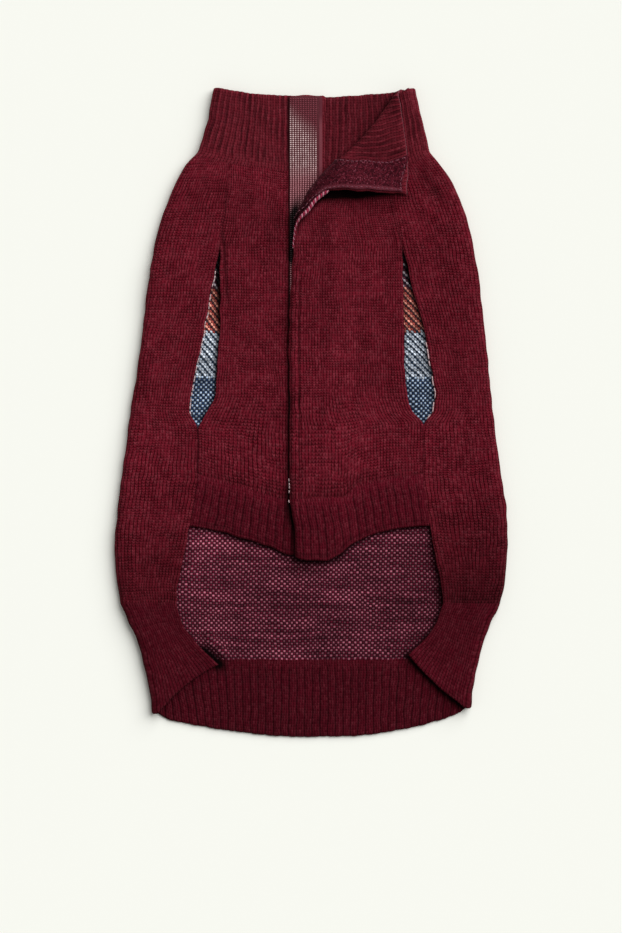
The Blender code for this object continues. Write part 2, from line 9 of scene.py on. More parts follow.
import bpy
import numpy as np
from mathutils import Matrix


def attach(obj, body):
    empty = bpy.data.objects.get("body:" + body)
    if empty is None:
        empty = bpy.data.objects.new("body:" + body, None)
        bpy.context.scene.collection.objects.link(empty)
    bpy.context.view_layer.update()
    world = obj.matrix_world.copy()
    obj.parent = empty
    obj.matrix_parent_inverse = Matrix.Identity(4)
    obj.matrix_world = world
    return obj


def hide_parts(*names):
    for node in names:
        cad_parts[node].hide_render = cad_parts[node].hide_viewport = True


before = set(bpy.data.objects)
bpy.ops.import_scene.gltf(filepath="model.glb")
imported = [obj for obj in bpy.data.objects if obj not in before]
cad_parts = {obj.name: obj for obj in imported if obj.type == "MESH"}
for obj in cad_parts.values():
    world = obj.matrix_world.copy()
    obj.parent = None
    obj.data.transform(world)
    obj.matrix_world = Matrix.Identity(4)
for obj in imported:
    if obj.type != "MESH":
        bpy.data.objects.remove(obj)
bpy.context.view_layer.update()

MM = 0.001

# ---- driving sizes, in millimetres ----------------------------------------------------------
CLOTH = 2.0  # thickness of the knitted cloth
GAP = 0.3  # space between two pieces, and between two layers
TAPE = 1.0  # thickness of a hook or loop tape
TAPE_WIDTH = 17.5  # width of the loop tape
TAPE_INSET = 3.6  # from the right front's free edge to the loop tape
TAPE_TOP_Y, TAPE_END_Y = 197.4, -53.0  # the hook tape's two ends
HOOK_START_X, HOOK_END_X = 5.6, -13.8  # the hook tape's two edges, without its border
HOOK_BORDER = 1.5  # width of that border
HOOK_PITCH = 1.575, 1.25  # from one hook to the next, across the tape and along it
HOOK_GROUND, HOOK_FOOT = 0.5, 0.42  # thickness of the tape's ground, and where the hooks begin in it
HOOK_MARGIN_X, HOOK_MARGIN_Y = (1.2, 1.6), (1.2, 0.6)  # bare ground left, right, below and above
TAPE_WANDER = 0.2  # the share of the cloth's wander that the hook tape takes part in
TAPE_SHIFT, TAPE_SHIFT_Y, TAPE_SHIFT_REACH = 2.7, 104.0, 20.0  # the loop tape nears the free edge
TAPE_TOP_GAP = 1.2  # from the collar's top edge to the loop tape
THREAD = 0.16  # radius of the loop tape's sewing thread
SEWING_STEP = 0.4  # from one point of that thread to the next
SIDE_RADIUS = 2.7  # middle radius of the folds along both sides
SIDE_RAMP = 26.0  # how far from a side fold the upper layer starts to rise
ROLL_RADIUS, ROLL_STEP = 2.6, 0.1  # the turned-back corner's roll, and the steps it is read in
FLAP_DROP, FLAP_LENGTH = 1.6, 40.0  # how far the turned-back corner sinks over its length
FLAP_ARCH, FLAP_ARCH_RISE = 2.5, 15.0  # its free edge's arch, and how far off the roll it is full
FLAP_ARCH_Y, FLAP_ARCH_REACH = 149.0, 9.0  # middle and half width of the arch
BROAD_PITCH, BROAD_RISE = 5.0, 0.4  # the ribs of the hem and the belly bands, and their height
FINE_PITCH, FINE_RISE = 3.7, 0.3  # the collar's ribs, and their height
WELT = 3.4  # height of the smooth edge under the belly bands' ribs
WALE, COURSE = 1.7, 1.73  # width and height of one stitch
INSIDE_WALE, INSIDE_COURSE = 1.56, 1.6  # one loop on the two-colour inside
SEAM_LAP = 0.45  # how far an edge that is sewn to another reaches over it
# The dark line along a seam is painted shade in the seam's groove
SEAM_WIDTH = 0.8  # half width of the dark line along a seam
RIB_JOIN, NECK_JOIN = 12.0, 28.0  # how far the cloth looks different beside a rib, and the collar
SELVAGE_TWIST, SELVAGE_SIDE, SELVAGE_RADIUS = 3.2, 0.70, 0.74  # the edge yarns: turn, offset, radius
SELVAGE_TOP_Y, SELVAGE_END_Y = 150.0, 102.0  # where the edge yarns show

NECK_Y = 159.5  # the neck seam at the side folds
BELLY_RIB_Y, BELLY_HEM_Y = -39.0, -71.5  # top and bottom of the belly bands at the side seams
HEM_RIB_Y = -119.5  # top of the hem band at the side folds
HEM_CORNER_Y = (-189.3, -185.2)  # the hem band's folded corners, left and right
SEAM_END_X = 75.6  # right end of the neck seam
COLLAR_USUAL_X = 68.5  # the collar's side where its ribs aren't spread
UNDERLAP_X = 8.8  # free edge of the left front, hidden under the right front
PLACKET_LEFT_X = -19.0  # left of all that lies on the left front
HEM_RISE_Y, HEM_RISE_REACH = -60.0, 50.0  # where the wraps start to rise to the hem's height
NECK_REACH, BELLY_REACH, HEM_REACH = 50.0, 45.0, 150.0  # how far each seam bends the rows
SLIT_TOP_Y, SLIT_END_Y = 94.0, -8.0  # ends of the leg slits
WRAP_LIFT, WRAP_LIFT_REACH = (0.57, 1.9), (4.0, 5.0)  # how the wraps' edges stand up, left and right
WRAP_LIFT_Y, WRAP_LIFT_RISE = -66.0, 14.0  # where they start to stand up, and how soon they do
CORNER_LIFT, CORNER_DROP = (0.1, 1.6), (1.0, 0.0)  # heights of the hem's corners, left and right
BROAD_STEPS, FINE_STEPS, FOLD_STEPS = 8, 6, 10  # points across one rib, and round a side fold
TAPE_RUN = 40.0  # millimetres along the collar for each 1 of its share t, on the loop tape
PLACKET_RISE_X, PLACKET_RISE_REACH = 32.0, 20.0  # where the right front starts to climb the left one
DROOP, DROOP_Y, DROOP_REACH = 1.7, 102.0, 14.0  # how far its free edge hangs down, and from where
FINE_SHIFT, BROAD_SHIFT, SWELL_RISE = (0.22, 0.18), 0.35, 0.35  # how uneven soft cloth lies

# Painted shadow: edges that lie over another layer darken the colour of the layer below them
CAST_STEP = 0.8  # from one point of a shading edge to the next
CLOSE = 0.9  # how far below an edge its shade begins, and how much further it is full
DARKEST = 0.03  # the least light that shade leaves

LAYER = CLOTH + GAP
BACK_Z = CLOTH / 2
FRONT_Z = BACK_Z + LAYER
SIDE_TOP_Z = BACK_Z + 2 * SIDE_RADIUS
PLACKET_Z = FRONT_Z + LAYER + 2 * (TAPE + GAP)
HEM_FRONT_Z = FRONT_Z + 0.9

# Sections across the body: y, then x of the left side, the left wrap's edge, the left belly
# front's edge, the right belly front's edge, the right wrap's edge and the right side.
SECTIONS = (
    (159.5, -72.6, -50.0, -50.0, 49.5, 49.5, 75.6),
    (154.0, -77.6, -50.4, -50.4, 49.8, 49.8, 80.4),
    (145.0, -82.9, -51.0, -51.0, 50.5, 50.5, 86.4),
    (130.5, -89.3, -53.0, -53.0, 51.5, 51.5, 92.7),
    (117.0, -93.8, -54.5, -54.5, 54.0, 54.0, 97.0),
    (104.0, -96.8, -57.0, -57.0, 56.5, 56.5, 100.8),
    (94.0, -98.7, -59.0, -57.0, 57.0, 59.5, 102.5),
    (79.5, -101.0, -62.0, -57.0, 57.5, 62.8, 104.5),
    (65.0, -103.0, -64.5, -57.0, 58.0, 67.5, 105.8),
    (50.5, -104.5, -67.5, -57.5, 58.5, 71.0, 107.4),
    (36.0, -106.6, -70.0, -58.5, 58.5, 73.5, 109.3),
    (22.0, -108.2, -73.0, -59.0, 59.0, 76.0, 110.7),
    (11.0, -109.8, -75.0, -59.5, 60.5, 78.0, 111.9),
    (1.0, -111.7, -76.5, -64.5, 64.0, 77.0, 112.7),
    (-7.5, -113.0, -72.0, -69.6, 70.5, 71.0, 113.7),
    (-12.0, -113.7, -70.6, -70.6, 70.5, 70.5, 114.2),
    (-24.0, -115.3, -70.5, -70.5, 70.5, 70.5, 116.0),
    (-39.0, -117.4, -70.5, -70.5, 70.5, 70.5, 118.2),
    (-55.0, -119.0, -73.0, -73.0, 72.5, 72.5, 119.9),
    (-69.0, -120.4, -75.5, -75.5, 74.5, 74.5, 121.3),
    (-83.0, -121.5, -78.0, -78.0, 77.0, 77.0, 121.8),
    (-99.0, -120.9, -81.5, -81.5, 80.0, 80.0, 120.7),
    (-111.0, -119.5, -84.0, -84.0, 82.0, 82.0, 118.7),
    (-119.5, -117.5, -84.5, -84.5, 82.5, 82.5, 116.6),
)
SIDE_L, WRAP_L, BELLY_L, BELLY_R, WRAP_R, SIDE_R = range(1, 7)

# y, x of the left side, x of the right side
COLLAR_SIDES = ((202.5, -59.6, 64.0), (194.0, -61.5, 66.2), (184.5, -63.1, 68.4),
                (175.5, -65.7, 70.2), (167.0, -68.4, 72.0), (162.5, -70.1, 73.4),
                (159.5, -72.6, 75.6))
HEM_SIDES = ((-119.5, -117.5, 116.6), (-130.0, -113.0, 111.6), (-142.5, -107.4, 107.2),
             (-155.0, -104.2, 104.1), (-167.5, -101.1, 101.5), (-180.0, -98.8, 99.7),
             (-188.5, -98.3, 99.5))

# Edges that run across the garment: x, y
NECK_SEAM = ((-76.0, 159.5), (-72.5, 159.5), (-53.0, 156.5), (-38.0, 154.5), (-14.0, 151.0),
             (14.5, 150.5), (43.0, 152.5), (61.0, 155.5), (74.0, 159.5), (77.5, 159.5))
COLLAR_TOP_LEFT = ((-60.0, 203.0), (-48.0, 200.7), (-33.5, 199.2), (-17.5, 198.2), (7.4, 198.0),
                   (8.3, 197.5), (8.8, 196.5))
COLLAR_TOP_RIGHT = ((-5.4, 201.8), (4.5, 200.6), (12.0, 198.4), (21.0, 197.2), (36.0, 198.2),
                    (52.0, 200.4), (64.0, 203.0))
COLLAR_TOP_BACK = ((-60.0, 203.0), (-40.0, 197.3), (8.0, 197.2), (20.0, 197.5), (35.0, 198.6),
                   (50.0, 200.0), (64.0, 203.0))
BELLY_RIB_TOP = ((-71.0, -39.0), (-40.0, -47.5), (-14.5, -54.0), (19.5, -54.0), (30.5, -45.5),
                 (71.0, -39.0))
BELLY_HEM_LEFT = ((-75.5, -71.5), (-59.5, -74.5), (-42.5, -79.5), (-25.5, -84.5), (-14.5, -89.0),
                  (9.0, -90.5))
BELLY_HEM_RIGHT = ((-10.5, -90.5), (-5.5, -92.0), (8.0, -92.5), (15.0, -90.5), (22.5, -84.5),
                   (30.5, -80.0), (42.0, -75.5), (59.0, -72.5), (75.0, -71.5))
BACK_HEM_SEAM = ((-119.0, -119.5), (-111.0, -121.0), (-98.0, -137.0), (-84.0, -150.0),
                 (-66.0, -154.7), (-40.0, -155.0), (40.0, -155.0), (65.0, -154.7),
                 (83.0, -150.0), (97.0, -137.0), (110.0, -121.0), (118.0, -119.5))
HEM_EDGE = ((-99.5, -189.3), (-90.5, -193.3), (-77.5, -195.7), (-65.0, -198.1), (-45.5, -200.8),
            (-26.0, -202.3), (-0.5, -203.1), (25.0, -202.4), (44.5, -200.7), (57.0, -199.0),
            (70.0, -196.9), (83.0, -193.6), (95.5, -188.8), (100.5, -185.2))

# The hem band's inner edge where it comes over to the front: share of the way down the band,
# then x and y on the left, and x and y on the right.
HEM_INNER = ((0.0, -84.5, -119.5, 82.5, -119.5), (0.2, -82.5, -129.0, 80.0, -126.5),
             (0.45, -77.0, -138.5, 75.5, -136.0), (0.75, -67.5, -149.0, 67.5, -145.5),
             (1.0, -57.5, -158.0, 60.0, -152.0))
HEM_BOW = (4.0, -2.0)

# The line where the right front and its collar leave the surface to roll back: x, y
ROLL_LINE = ((58.5, 200.0), (47.8, 185.2), (38.4, 173.6), (28.0, 163.0), (18.0, 153.0),
             (11.5, 146.3), (4.6, 138.0), (-1.4, 128.0), (-5.9, 118.5), (-8.8, 107.0),
             (-12.4, 94.0), (-16.5, 78.0))

# Free edge of the right front before it is turned back: y, x
PLACKET_EDGE = ((201.0, -3.8), (151.0, -3.8), (145.0, -5.0), (136.0, -8.0), (128.0, -10.9),
                (118.0, -11.9), (107.0, -11.1), (95.0, -11.8), (76.0, -12.8), (58.0, -13.1),
                (-54.0, -13.5), (-64.0, -11.5), (-75.0, -10.2), (-92.0, -10.0))
COLLAR_EDGE_X = PLACKET_EDGE[0][1]

# Creases of the upper layer: x and y of both ends, half width, height, bow as a share of
# the length; a trough is negative, and troughs also get painted shade in their colour.
CREASES = (
    (-54.6, 110.0, -52.6, 70.0, 1.5, -0.85, 0.02), (-57.0, 106.0, -55.4, 74.0, 1.2, 0.5, 0.02),
    (-7.6, 92.0, -7.4, -44.0, 0.9, -0.6, 0.0), (-10.6, 92.0, -10.4, -48.0, 1.8, 0.4, 0.0),
    (6.6, 128.0, 6.8, -36.0, 1.8, -0.2, 0.0), (68.8, 151.0, 84.0, 131.0, 2.4, -0.5, 0.12),
    (61.0, 146.0, 74.0, 122.0, 4.5, 0.9, 0.12), (-62.0, 152.0, -66.0, 122.0, 3.4, 0.7, 0.12),
    (-50.0, 144.0, -54.6, 102.0, 1.3, 0.45, 0.0), (49.6, 140.0, 54.6, 100.0, 1.2, 0.5, 0.0),
    (-47.0, 151.0, -50.0, 128.0, 2.8, 0.5, 0.12), (-36.0, 150.0, -34.0, 118.0, 4.0, 0.45, 0.12),
    (30.0, 96.0, 44.0, 20.0, 9.0, 0.6, 0.12), (-34.0, 60.0, -40.0, -30.0, 8.0, 0.5, 0.12),
    (-92.0, 100.0, -98.0, 10.0, 7.0, 0.6, 0.12), (-84.0, 20.0, -96.0, -60.0, 6.0, 0.7, 0.12),
    (90.0, 96.0, 97.0, 20.0, 6.0, 0.6, 0.12), (86.0, -10.0, 99.0, -80.0, 7.0, 0.7, 0.12),
    (-98.0, -96.0, -104.0, -124.0, 3.0, 0.8, 0.12), (-110.0, -92.0, -112.0, -122.0, 3.4, 0.7, 0.12),
    (-90.0, -100.0, -92.0, -126.0, 2.6, 0.6, 0.12), (90.0, -98.0, 91.0, -124.0, 2.8, 0.7, 0.12),
    (101.0, -96.0, 100.0, -122.0, 3.2, 0.8, 0.12), (111.0, -92.0, 108.0, -120.0, 3.0, 0.6, 0.12),
    (24.0, -40.0, 38.0, -66.0, 5.0, 0.6, 0.12), (-30.0, -44.0, -26.0, -80.0, 5.0, 0.5, 0.12),
)
# Painted shadow under the right front's free edge, by its flat y: half width in mm, strength. Where the
# strength is over 1 the painted shadow is black for a stretch before it fades.
EDGE_SHADE = ((201.0, 1.3, 0.6), (190.0, 1.8, 0.9), (180.0, 2.8, 1.3), (170.0, 3.8, 2.0),
              (153.0, 4.4, 2.4), (143.0, 3.4, 1.6), (135.0, 2.6, 0.8), (118.0, 2.0, 0.7),
              (106.0, 2.2, 1.0), (92.0, 1.7, 0.98), (-42.0, 1.5, 0.95), (-54.0, 2.4, 0.95),
              (-62.0, 4.0, 1.0), (-75.0, 3.0, 0.85), (-92.0, 1.4, 0.4))
# Painted shadow between the hook tape's left edge and the right front's free edge: y, x, half width,
# strength
WEDGE_SHADE = ((134.0, -8.5, 3.0, 0.1), (127.0, -9.6, 3.4, 1.0), (121.0, -10.8, 3.0, 1.7),
               (113.0, -11.5, 2.4, 1.8), (104.0, -12.2, 2.0, 1.6), (94.0, -12.8, 1.8, 1.3))

# Folds of the back where the opening below the belly shows its inside
BACK_CREASES = (
    (-65.0, -139.5, -52.5, -153.0, 1.9, 2.4, 0.12), (57.0, -139.0, 50.0, -151.0, 3.0, 0.8, 0.12),
    (-30.0, -110.0, 18.0, -117.0, 6.0, 0.5, 0.12),
)


# ---- reading the tables -----------------------------------------------------------------------
def read(table, at, column=1):
    """One column of a table at `at`, along a smooth curve that doesn't overshoot its rows."""
    rows = sorted(table)
    keys = np.array([row[0] for row in rows])
    values = np.array([row[column] for row in rows])
    step = np.diff(keys)
    rise = np.diff(values) / step
    before, after = rise[:-1], rise[1:]
    same_way = before * after > 0
    middle = np.zeros(len(before))
    middle[same_way] = (2 * before * after)[same_way] / (before + after)[same_way]
    slope = np.concatenate(([rise[0]], middle, [rise[-1]]))
    at = np.clip(np.asarray(at, float), keys[0], keys[-1])
    i = np.clip(np.searchsorted(keys, at) - 1, 0, len(step) - 1)
    t = (at - keys[i]) / step[i]
    return (
        values[i] * (1 + 2 * t) * (1 - t) ** 2
        + slope[i] * step[i] * t * (1 - t) ** 2
        + values[i + 1] * t * t * (3 - 2 * t)
        + slope[i + 1] * step[i] * t * t * (t - 1)
    )


def ease(t):
    """From 0 to 1 as t goes from 0 to 1, slow at both ends."""
    t = np.clip(t, 0.0, 1.0)
    return t * t * (3 - 2 * t)


def spread(start, end, count):
    """`count` steps from start to end, without the end itself."""
    return np.linspace(start, end, count, endpoint=False)


def crowded(start, end, count):
    """`count` steps from start to end, without the end itself, that are close at the start."""
    return start + (end - start) * spread(0.0, 1.0, count) ** 1.5


def unit(vectors):
    """Vectors along the last axis, each made 1 long."""
    return vectors / np.linalg.norm(vectors, axis=-1, keepdims=True)


def travelled(path):
    """How far along a path each of its points lies; the points follow each other on axis 0."""
    steps = np.linalg.norm(np.diff(path, axis=0), axis=-1)
    return np.concatenate((np.zeros_like(steps[:1]), np.cumsum(steps, axis=0)))


def picked(rows, at, keys):
    """Rows at `at`, read straight between the rows whose places are `keys`."""
    return np.stack([np.interp(at, keys, column) for column in rows.T], axis=1)


def grid(across, down):
    """Two numbers for each point of a piece, from its column and from its row."""
    return np.stack(np.meshgrid(across, down), axis=-1)


def smooth_noise(seed, size):
    """A smooth random field over x and y, mostly within -1 and 1, with lumps `size` across."""
    rng = np.random.default_rng(seed)
    waves = 10
    angle = rng.uniform(0, 2 * np.pi, waves)
    pace = 2 * np.pi / size * rng.uniform(0.5, 1.2, waves)
    phase = rng.uniform(0, 2 * np.pi, waves)

    def field(x, y):
        total = 0.0
        for a, k, p in zip(angle, pace, phase):
            total = total + np.sin(k * (x * np.cos(a) + y * np.sin(a)) + p)
        return total / np.sqrt(waves)

    return field


# ---- how the layers lie -------------------------------------------------------------------------
def on_placket(x):
    """From 0 on the back panel to 1 where the right front lies over the left one."""
    return ease((PLACKET_RISE_X - x) / PLACKET_RISE_REACH)


def let_go(y):
    """From 0 where the right front lies flat to 1 below, where its free edge hangs."""
    return ease((DROOP_Y - y) / DROOP_REACH)


def placket_lift(x):
    """Height of the right front: on the back panel, and over the left front and both tapes."""
    return FRONT_Z + (PLACKET_Z - FRONT_Z) * on_placket(x)


def side_lift(x, side_x, low):
    """Height of an upper layer that rises towards the side fold at side_x."""
    inward = np.abs(side_x) - SIDE_RADIUS - np.abs(x)
    return low + (SIDE_TOP_Z - low) * ease(1 - inward / SIDE_RAMP)


def bent(x, y, edge, edge_y, reach):
    """y moved so that the row at edge_y follows the curve `edge`, dying away over `reach`."""
    return y + (read(edge, x) - edge_y) * np.clip(1 - np.abs(y - edge_y) / reach, 0, 1)


def at_neck(x, y):
    """y of a row, bent to the neck seam."""
    return bent(x, y, NECK_SEAM, NECK_Y, NECK_REACH)


def front_y(x, y):
    """y of a row of a belly front, bent to the neck seam above and to its band below."""
    return bent(x, at_neck(x, y), BELLY_RIB_TOP, BELLY_RIB_Y, BELLY_REACH)


def lying_z(x, y):
    """Height of the right front where it isn't turned back. Its free edge hangs down a little past
    the tape that holds it up."""
    past_tape = ease(1 - (x - read(PLACKET_EDGE, y)) / TAPE_INSET)
    return placket_lift(x) - DROOP * past_tape * let_go(y)


def side_fold(side_x, y, steps):
    """Half a turn round a side fold, from the upper layer down to the lower one, as points."""
    towards = np.sign(side_x)
    angles = spread(0.0, np.pi, steps)
    x = side_x - towards * SIDE_RADIUS + towards * SIDE_RADIUS * np.sin(angles)
    z = BACK_Z + SIDE_RADIUS + SIDE_RADIUS * np.cos(angles)
    return layer(x, y, z)


def round_body(left, left_side, back, right_side, right, steps):
    """A row round the body: the left upper layer, the back between both side folds, and the right
    upper layer. `left_side` and `right_side` are x and y of the folds, of `steps` points each."""
    return np.concatenate((left, side_fold(*left_side, steps), back,
                           side_fold(*right_side, steps + 1)[:0:-1], right))


def layer(x, y, z):
    """Points of one stretch of a row from its coordinates, each an array or one number."""
    return np.stack(np.broadcast_arrays(np.asarray(x, float), y, z), axis=-1)


def roll_curve():
    """The roll line as evenly spaced points, with unit vectors along it and away across it."""
    x = np.linspace(ROLL_LINE[-1][0], ROLL_LINE[0][0], 800)
    points = np.stack((x, read(ROLL_LINE, x)), axis=1)
    length = travelled(points)
    points = picked(points, np.arange(0.0, length[-1], ROLL_STEP), length)
    along = unit(np.gradient(points, axis=0))
    return points, along, np.stack((-along[:, 1], along[:, 0]), axis=1)


ROLL_POINTS, ROLL_ALONG, ROLL_AWAY = roll_curve()


def past_roll(flat):
    """How far flat points lie past the roll line, their feet on it, and the way across there."""
    nearest = np.empty(len(flat), int)
    for start in range(0, len(flat), 2000):
        part = flat[start:start + 2000]
        offset = ((part[:, None] - ROLL_POINTS[None]) ** 2).sum(axis=2)
        nearest[start:start + 2000] = offset.argmin(axis=1)
    beside = flat - ROLL_POINTS[nearest]
    place = nearest + (beside * ROLL_ALONG[nearest]).sum(axis=1) / ROLL_STEP
    foot, away = (picked(curve, place, np.arange(len(curve))) for curve in (ROLL_POINTS, ROLL_AWAY))
    return ((flat - foot) * away).sum(axis=1), foot, away


def turned_back(x, y):
    """Points of the right front as it lies: flat, on the roll, or on the turned-back corner."""
    flat = np.stack(np.broadcast_arrays(np.asarray(x, float), y), axis=-1)
    points = flat.reshape(-1, 2)
    beyond, foot, away = past_roll(points)
    turn = np.clip(beyond / ROLL_RADIUS, 0.0, np.pi)
    tail = np.maximum(0.0, beyond - np.pi * ROLL_RADIUS)
    plan = foot + away * (ROLL_RADIUS * np.sin(turn) - tail)[:, None]
    height = placket_lift(foot[:, 0]) + ROLL_RADIUS * (1 - np.cos(turn))
    along_arch = (foot[:, 1] - FLAP_ARCH_Y) / FLAP_ARCH_REACH
    height += FLAP_ARCH * np.exp(-(along_arch**2)) * ease(tail / FLAP_ARCH_RISE)
    height -= FLAP_DROP * ease(tail / FLAP_LENGTH)
    rolled = np.column_stack((plan, height))
    unrolled = np.column_stack((points, lying_z(points[:, 0], points[:, 1])))
    placed = np.where((beyond > 0)[:, None], rolled, unrolled)
    return placed.reshape(*flat.shape[:-1], 3)


WANDER_FINE = smooth_noise(3, 11.0), smooth_noise(4, 11.0)
WANDER_BROAD = smooth_noise(5, 55.0), smooth_noise(6, 55.0)
SWELL = smooth_noise(7, 46.0)
RIB_UNEVEN = smooth_noise(11, 16.0)


def crease_height(creases, x, y):
    """Height that `creases` add at x, y."""
    total = 0.0 * x
    for x0, y0, x1, y1, width, height, bow in creases:
        length = np.hypot(x1 - x0, y1 - y0)
        ux, uy = (x1 - x0) / length, (y1 - y0) / length
        along = ((x - x0) * ux + (y - y0) * uy) / length
        bend = bow * length * (0.25 - (along - 0.5) ** 2)
        across = (x - x0) * -uy + (y - y0) * ux + bend
        fade = ease((along + 0.15) / 0.3) * ease((1.15 - along) / 0.3)
        total = total + height * fade * np.exp(-((across / width) ** 2))
    return total


# Troughs, which also darken the colour of the cloth in them as painted shade
TROUGHS = tuple(crease for crease in CREASES if crease[5] < 0)


def settled(points, wander=1.0):
    """Points of a middle surface with the unevenness of soft cloth: wander, creases and swell."""
    x, y, z = points[..., 0], points[..., 1], points[..., 2]
    upper = np.clip((z - BACK_Z) / LAYER, 0, 1)
    dx, dy = (wander * (shift * fine(x, y) + BROAD_SHIFT * broad(x, y))
              for shift, fine, broad in zip(FINE_SHIFT, WANDER_FINE, WANDER_BROAD))
    dz = upper * (crease_height(CREASES, x, y) + SWELL_RISE * (1 + SWELL(x, y)))
    dz = dz + (1 - upper) * crease_height(BACK_CREASES, x, y)
    return points + np.stack((dx, dy, dz), axis=-1)


# ---- painted shadow that an edge casts on the layer close below it ----------------------------------
def casting(x, y, z, width, strength):
    """One edge as rows of x, y and z, with the half width and strength of the painted shadow below it."""
    return np.stack(np.broadcast_arrays(x, y, z, width, strength), axis=1)


def steps_to(start, end):
    """Places from start towards end, one at each CAST_STEP."""
    return np.arange(start, end, np.copysign(CAST_STEP, end - start))


def section_edges(y, z, kinds):
    """Edges that the sections give: each of `kinds` is a column, a half width and a strength of painted
    shadow.
    """
    return [casting(read(SECTIONS, y, column), y, z, *shade) for column, *shade in kinds]


def casting_edges():
    """All the edges that lie over another layer and paint shadow on it, as rows of `casting`."""
    y = steps_to(200.0, -92.0)
    edge = turned_back(read(PLACKET_EDGE, y), y)
    edge[:, 2] += 0.9 * let_go(y)
    edges = [casting(*edge.T, read(EDGE_SHADE, y), read(EDGE_SHADE, y, 2))]
    y = steps_to(WEDGE_SHADE[0][0], WEDGE_SHADE[-1][0])
    x, width, strength = (read(WEDGE_SHADE, y, column) for column in (1, 2, 3))
    edges.append(casting(x, y, PLACKET_Z, width, strength))
    x = steps_to(-75.0, -11.0)
    edges.append(casting(x, read(BELLY_HEM_LEFT, x), FRONT_Z, 1.5 + 0.012 * (x + 75.0), 0.85))
    x = steps_to(-10.0, 75.0)
    width = 1.4 + 1.6 * on_placket(x)
    edges.append(casting(x, read(BELLY_HEM_RIGHT, x), placket_lift(x), width, 0.85))
    edges += section_edges(steps_to(-72.0, -119.0), HEM_FRONT_Z,
                           ((WRAP_L, 1.2, 0.35), (WRAP_R, 2.2, 0.75)))
    share = np.linspace(0.0, 1.0, 50)
    deep = ease((share - 0.6) / 0.2)
    inner = (1.2 + 3.4 * deep, 0.4 + 0.7 * deep), (2.0, 0.6)
    folded = (0.8, 0.05), (2.2, 0.95)
    for side in range(2):
        x, y = (read(HEM_INNER, share, column + 2 * side) for column in (1, 2))
        edges.append(casting(x, y, HEM_FRONT_Z, *inner[side]))
        edges.append(casting(*hem_corner(side, 1.0, 60)[0].T, *folded[side]))
    y = steps_to(98.0, -6.0)
    upper, top = ease((y - 40.0) / 30.0), ease((y - 77.0) / 5.0)
    edges += section_edges(y, FRONT_Z, (
        (BELLY_L, 1.6 + 1.7 * upper + 0.4 * top, 0.85 + 0.15 * upper + 0.6 * top),
        (WRAP_R, 1.1 + 0.9 * upper + 0.5 * top, 0.55 + 0.28 * upper + 0.3 * top),
        (WRAP_L, 0.8, 0.45), (BELLY_R, 0.8, 0.45)))
    edges.append(casting(HOOK_END_X - 0.2, steps_to(196.0, 100.0), FRONT_Z + LAYER, 1.0, 0.42))
    x, y = (ROLL_POINTS + ROLL_AWAY * ROLL_RADIUS)[ROLL_POINTS[:, 1] > NECK_Y - 4][::8].T
    near_top = ease((y - 174.0) / 16.0)
    edges.append(casting(x, y, FRONT_Z + ROLL_RADIUS, 1.3 + 1.4 * near_top, 0.4 + 0.5 * near_top))
    return np.concatenate(edges)


def painted_shadow(points):
    """Painted shadow: how light points are painted, from 1 down to nearly 0 where they lie close below an
    edge.
    """
    flat_x, flat_y, flat_z = np.ascontiguousarray(points.reshape(-1, 3).T)
    light = np.ones(len(flat_x))
    for x, y, z, width, strength in CASTING:
        near = np.flatnonzero((np.abs(flat_x - x) < 3 * width) & (np.abs(flat_y - y) < 3 * width))
        apart = (flat_x[near] - x) ** 2 + (flat_y[near] - y) ** 2
        below = ease((z - flat_z[near] - CLOSE) / CLOSE)
        light[near] = np.minimum(light[near], 1 - strength * below * np.exp(-apart / width**2))
    return np.maximum(light, DARKEST).reshape(points.shape[:-1])


# ---- meshes ---------------------------------------------------------------------------------------
def normals_of(middle):
    """Unit vectors to the right side of the cloth at each point of a middle surface."""
    return unit(np.cross(np.gradient(middle, axis=1), np.gradient(middle, axis=0)))


def from_edges(middle):
    """Distances of each point from the first and last row and the first and last column."""
    down, over = travelled(middle), travelled(middle.swapaxes(0, 1)).T
    return down, down[-1:] - down, over, over[:, -1:] - over


def in_scene(name, data, **settings):
    """An object that stands in the scene, with `settings` made on it."""
    made = bpy.data.objects.new(name, data)
    for key, value in settings.items():
        setattr(made, key, value)
    bpy.context.scene.collection.objects.link(made)
    return made


def mesh_object(name, points, faces, materials, face_materials=None, uv=None, values=None):
    """A smooth mesh from points in millimetres."""
    mesh = bpy.data.meshes.new(name)
    mesh.from_pydata((np.asarray(points) * MM).tolist(), [], faces)
    for made in materials:
        mesh.materials.append(made)
    if face_materials is not None:
        mesh.polygons.foreach_set("material_index", np.asarray(face_materials, np.int32))
    if uv is not None:
        corner = np.empty(len(mesh.loops), np.int32)
        mesh.loops.foreach_get("vertex_index", corner)
        mesh.uv_layers.new(name="stitch").data.foreach_set("uv", uv[corner].ravel().astype(np.float32))
    for key, value in (values or {}).items():
        mesh.attributes.new(key, "FLOAT", "POINT").data.foreach_set("value", value.astype(np.float32))
    mesh.shade_smooth()
    return in_scene(name, mesh)


def seam_shade(distance, strength):
    """How dark the cloth is painted beside a seam, as painted shade in its groove: 1 away from it."""
    return 1 - strength * np.exp(-((distance / SEAM_WIDTH) ** 2))


def wall_faces(rows, columns):
    """Faces of a closed wall between two grids of points, and 0 for a face of the outer side, 1
    for one of the inner side and 2 for one of the rim."""
    index = np.arange(rows * columns).reshape(rows, columns)
    a, b, c, d = index[:-1, :-1], index[1:, :-1], index[1:, 1:], index[:-1, 1:]
    outer = np.stack((d, c, b, a), axis=-1).reshape(-1, 4)
    behind = rows * columns
    ring = np.concatenate((index[0], index[1:, -1], index[-1, -2::-1], index[-2:0:-1, 0]))
    after = np.roll(ring, -1)
    rim = np.stack((after, ring, ring + behind, after + behind), axis=-1)
    faces = np.concatenate((outer, outer[:, ::-1] + behind, rim)).tolist()
    return faces, np.repeat((0, 1, 2), (len(outer), len(outer), len(rim)))


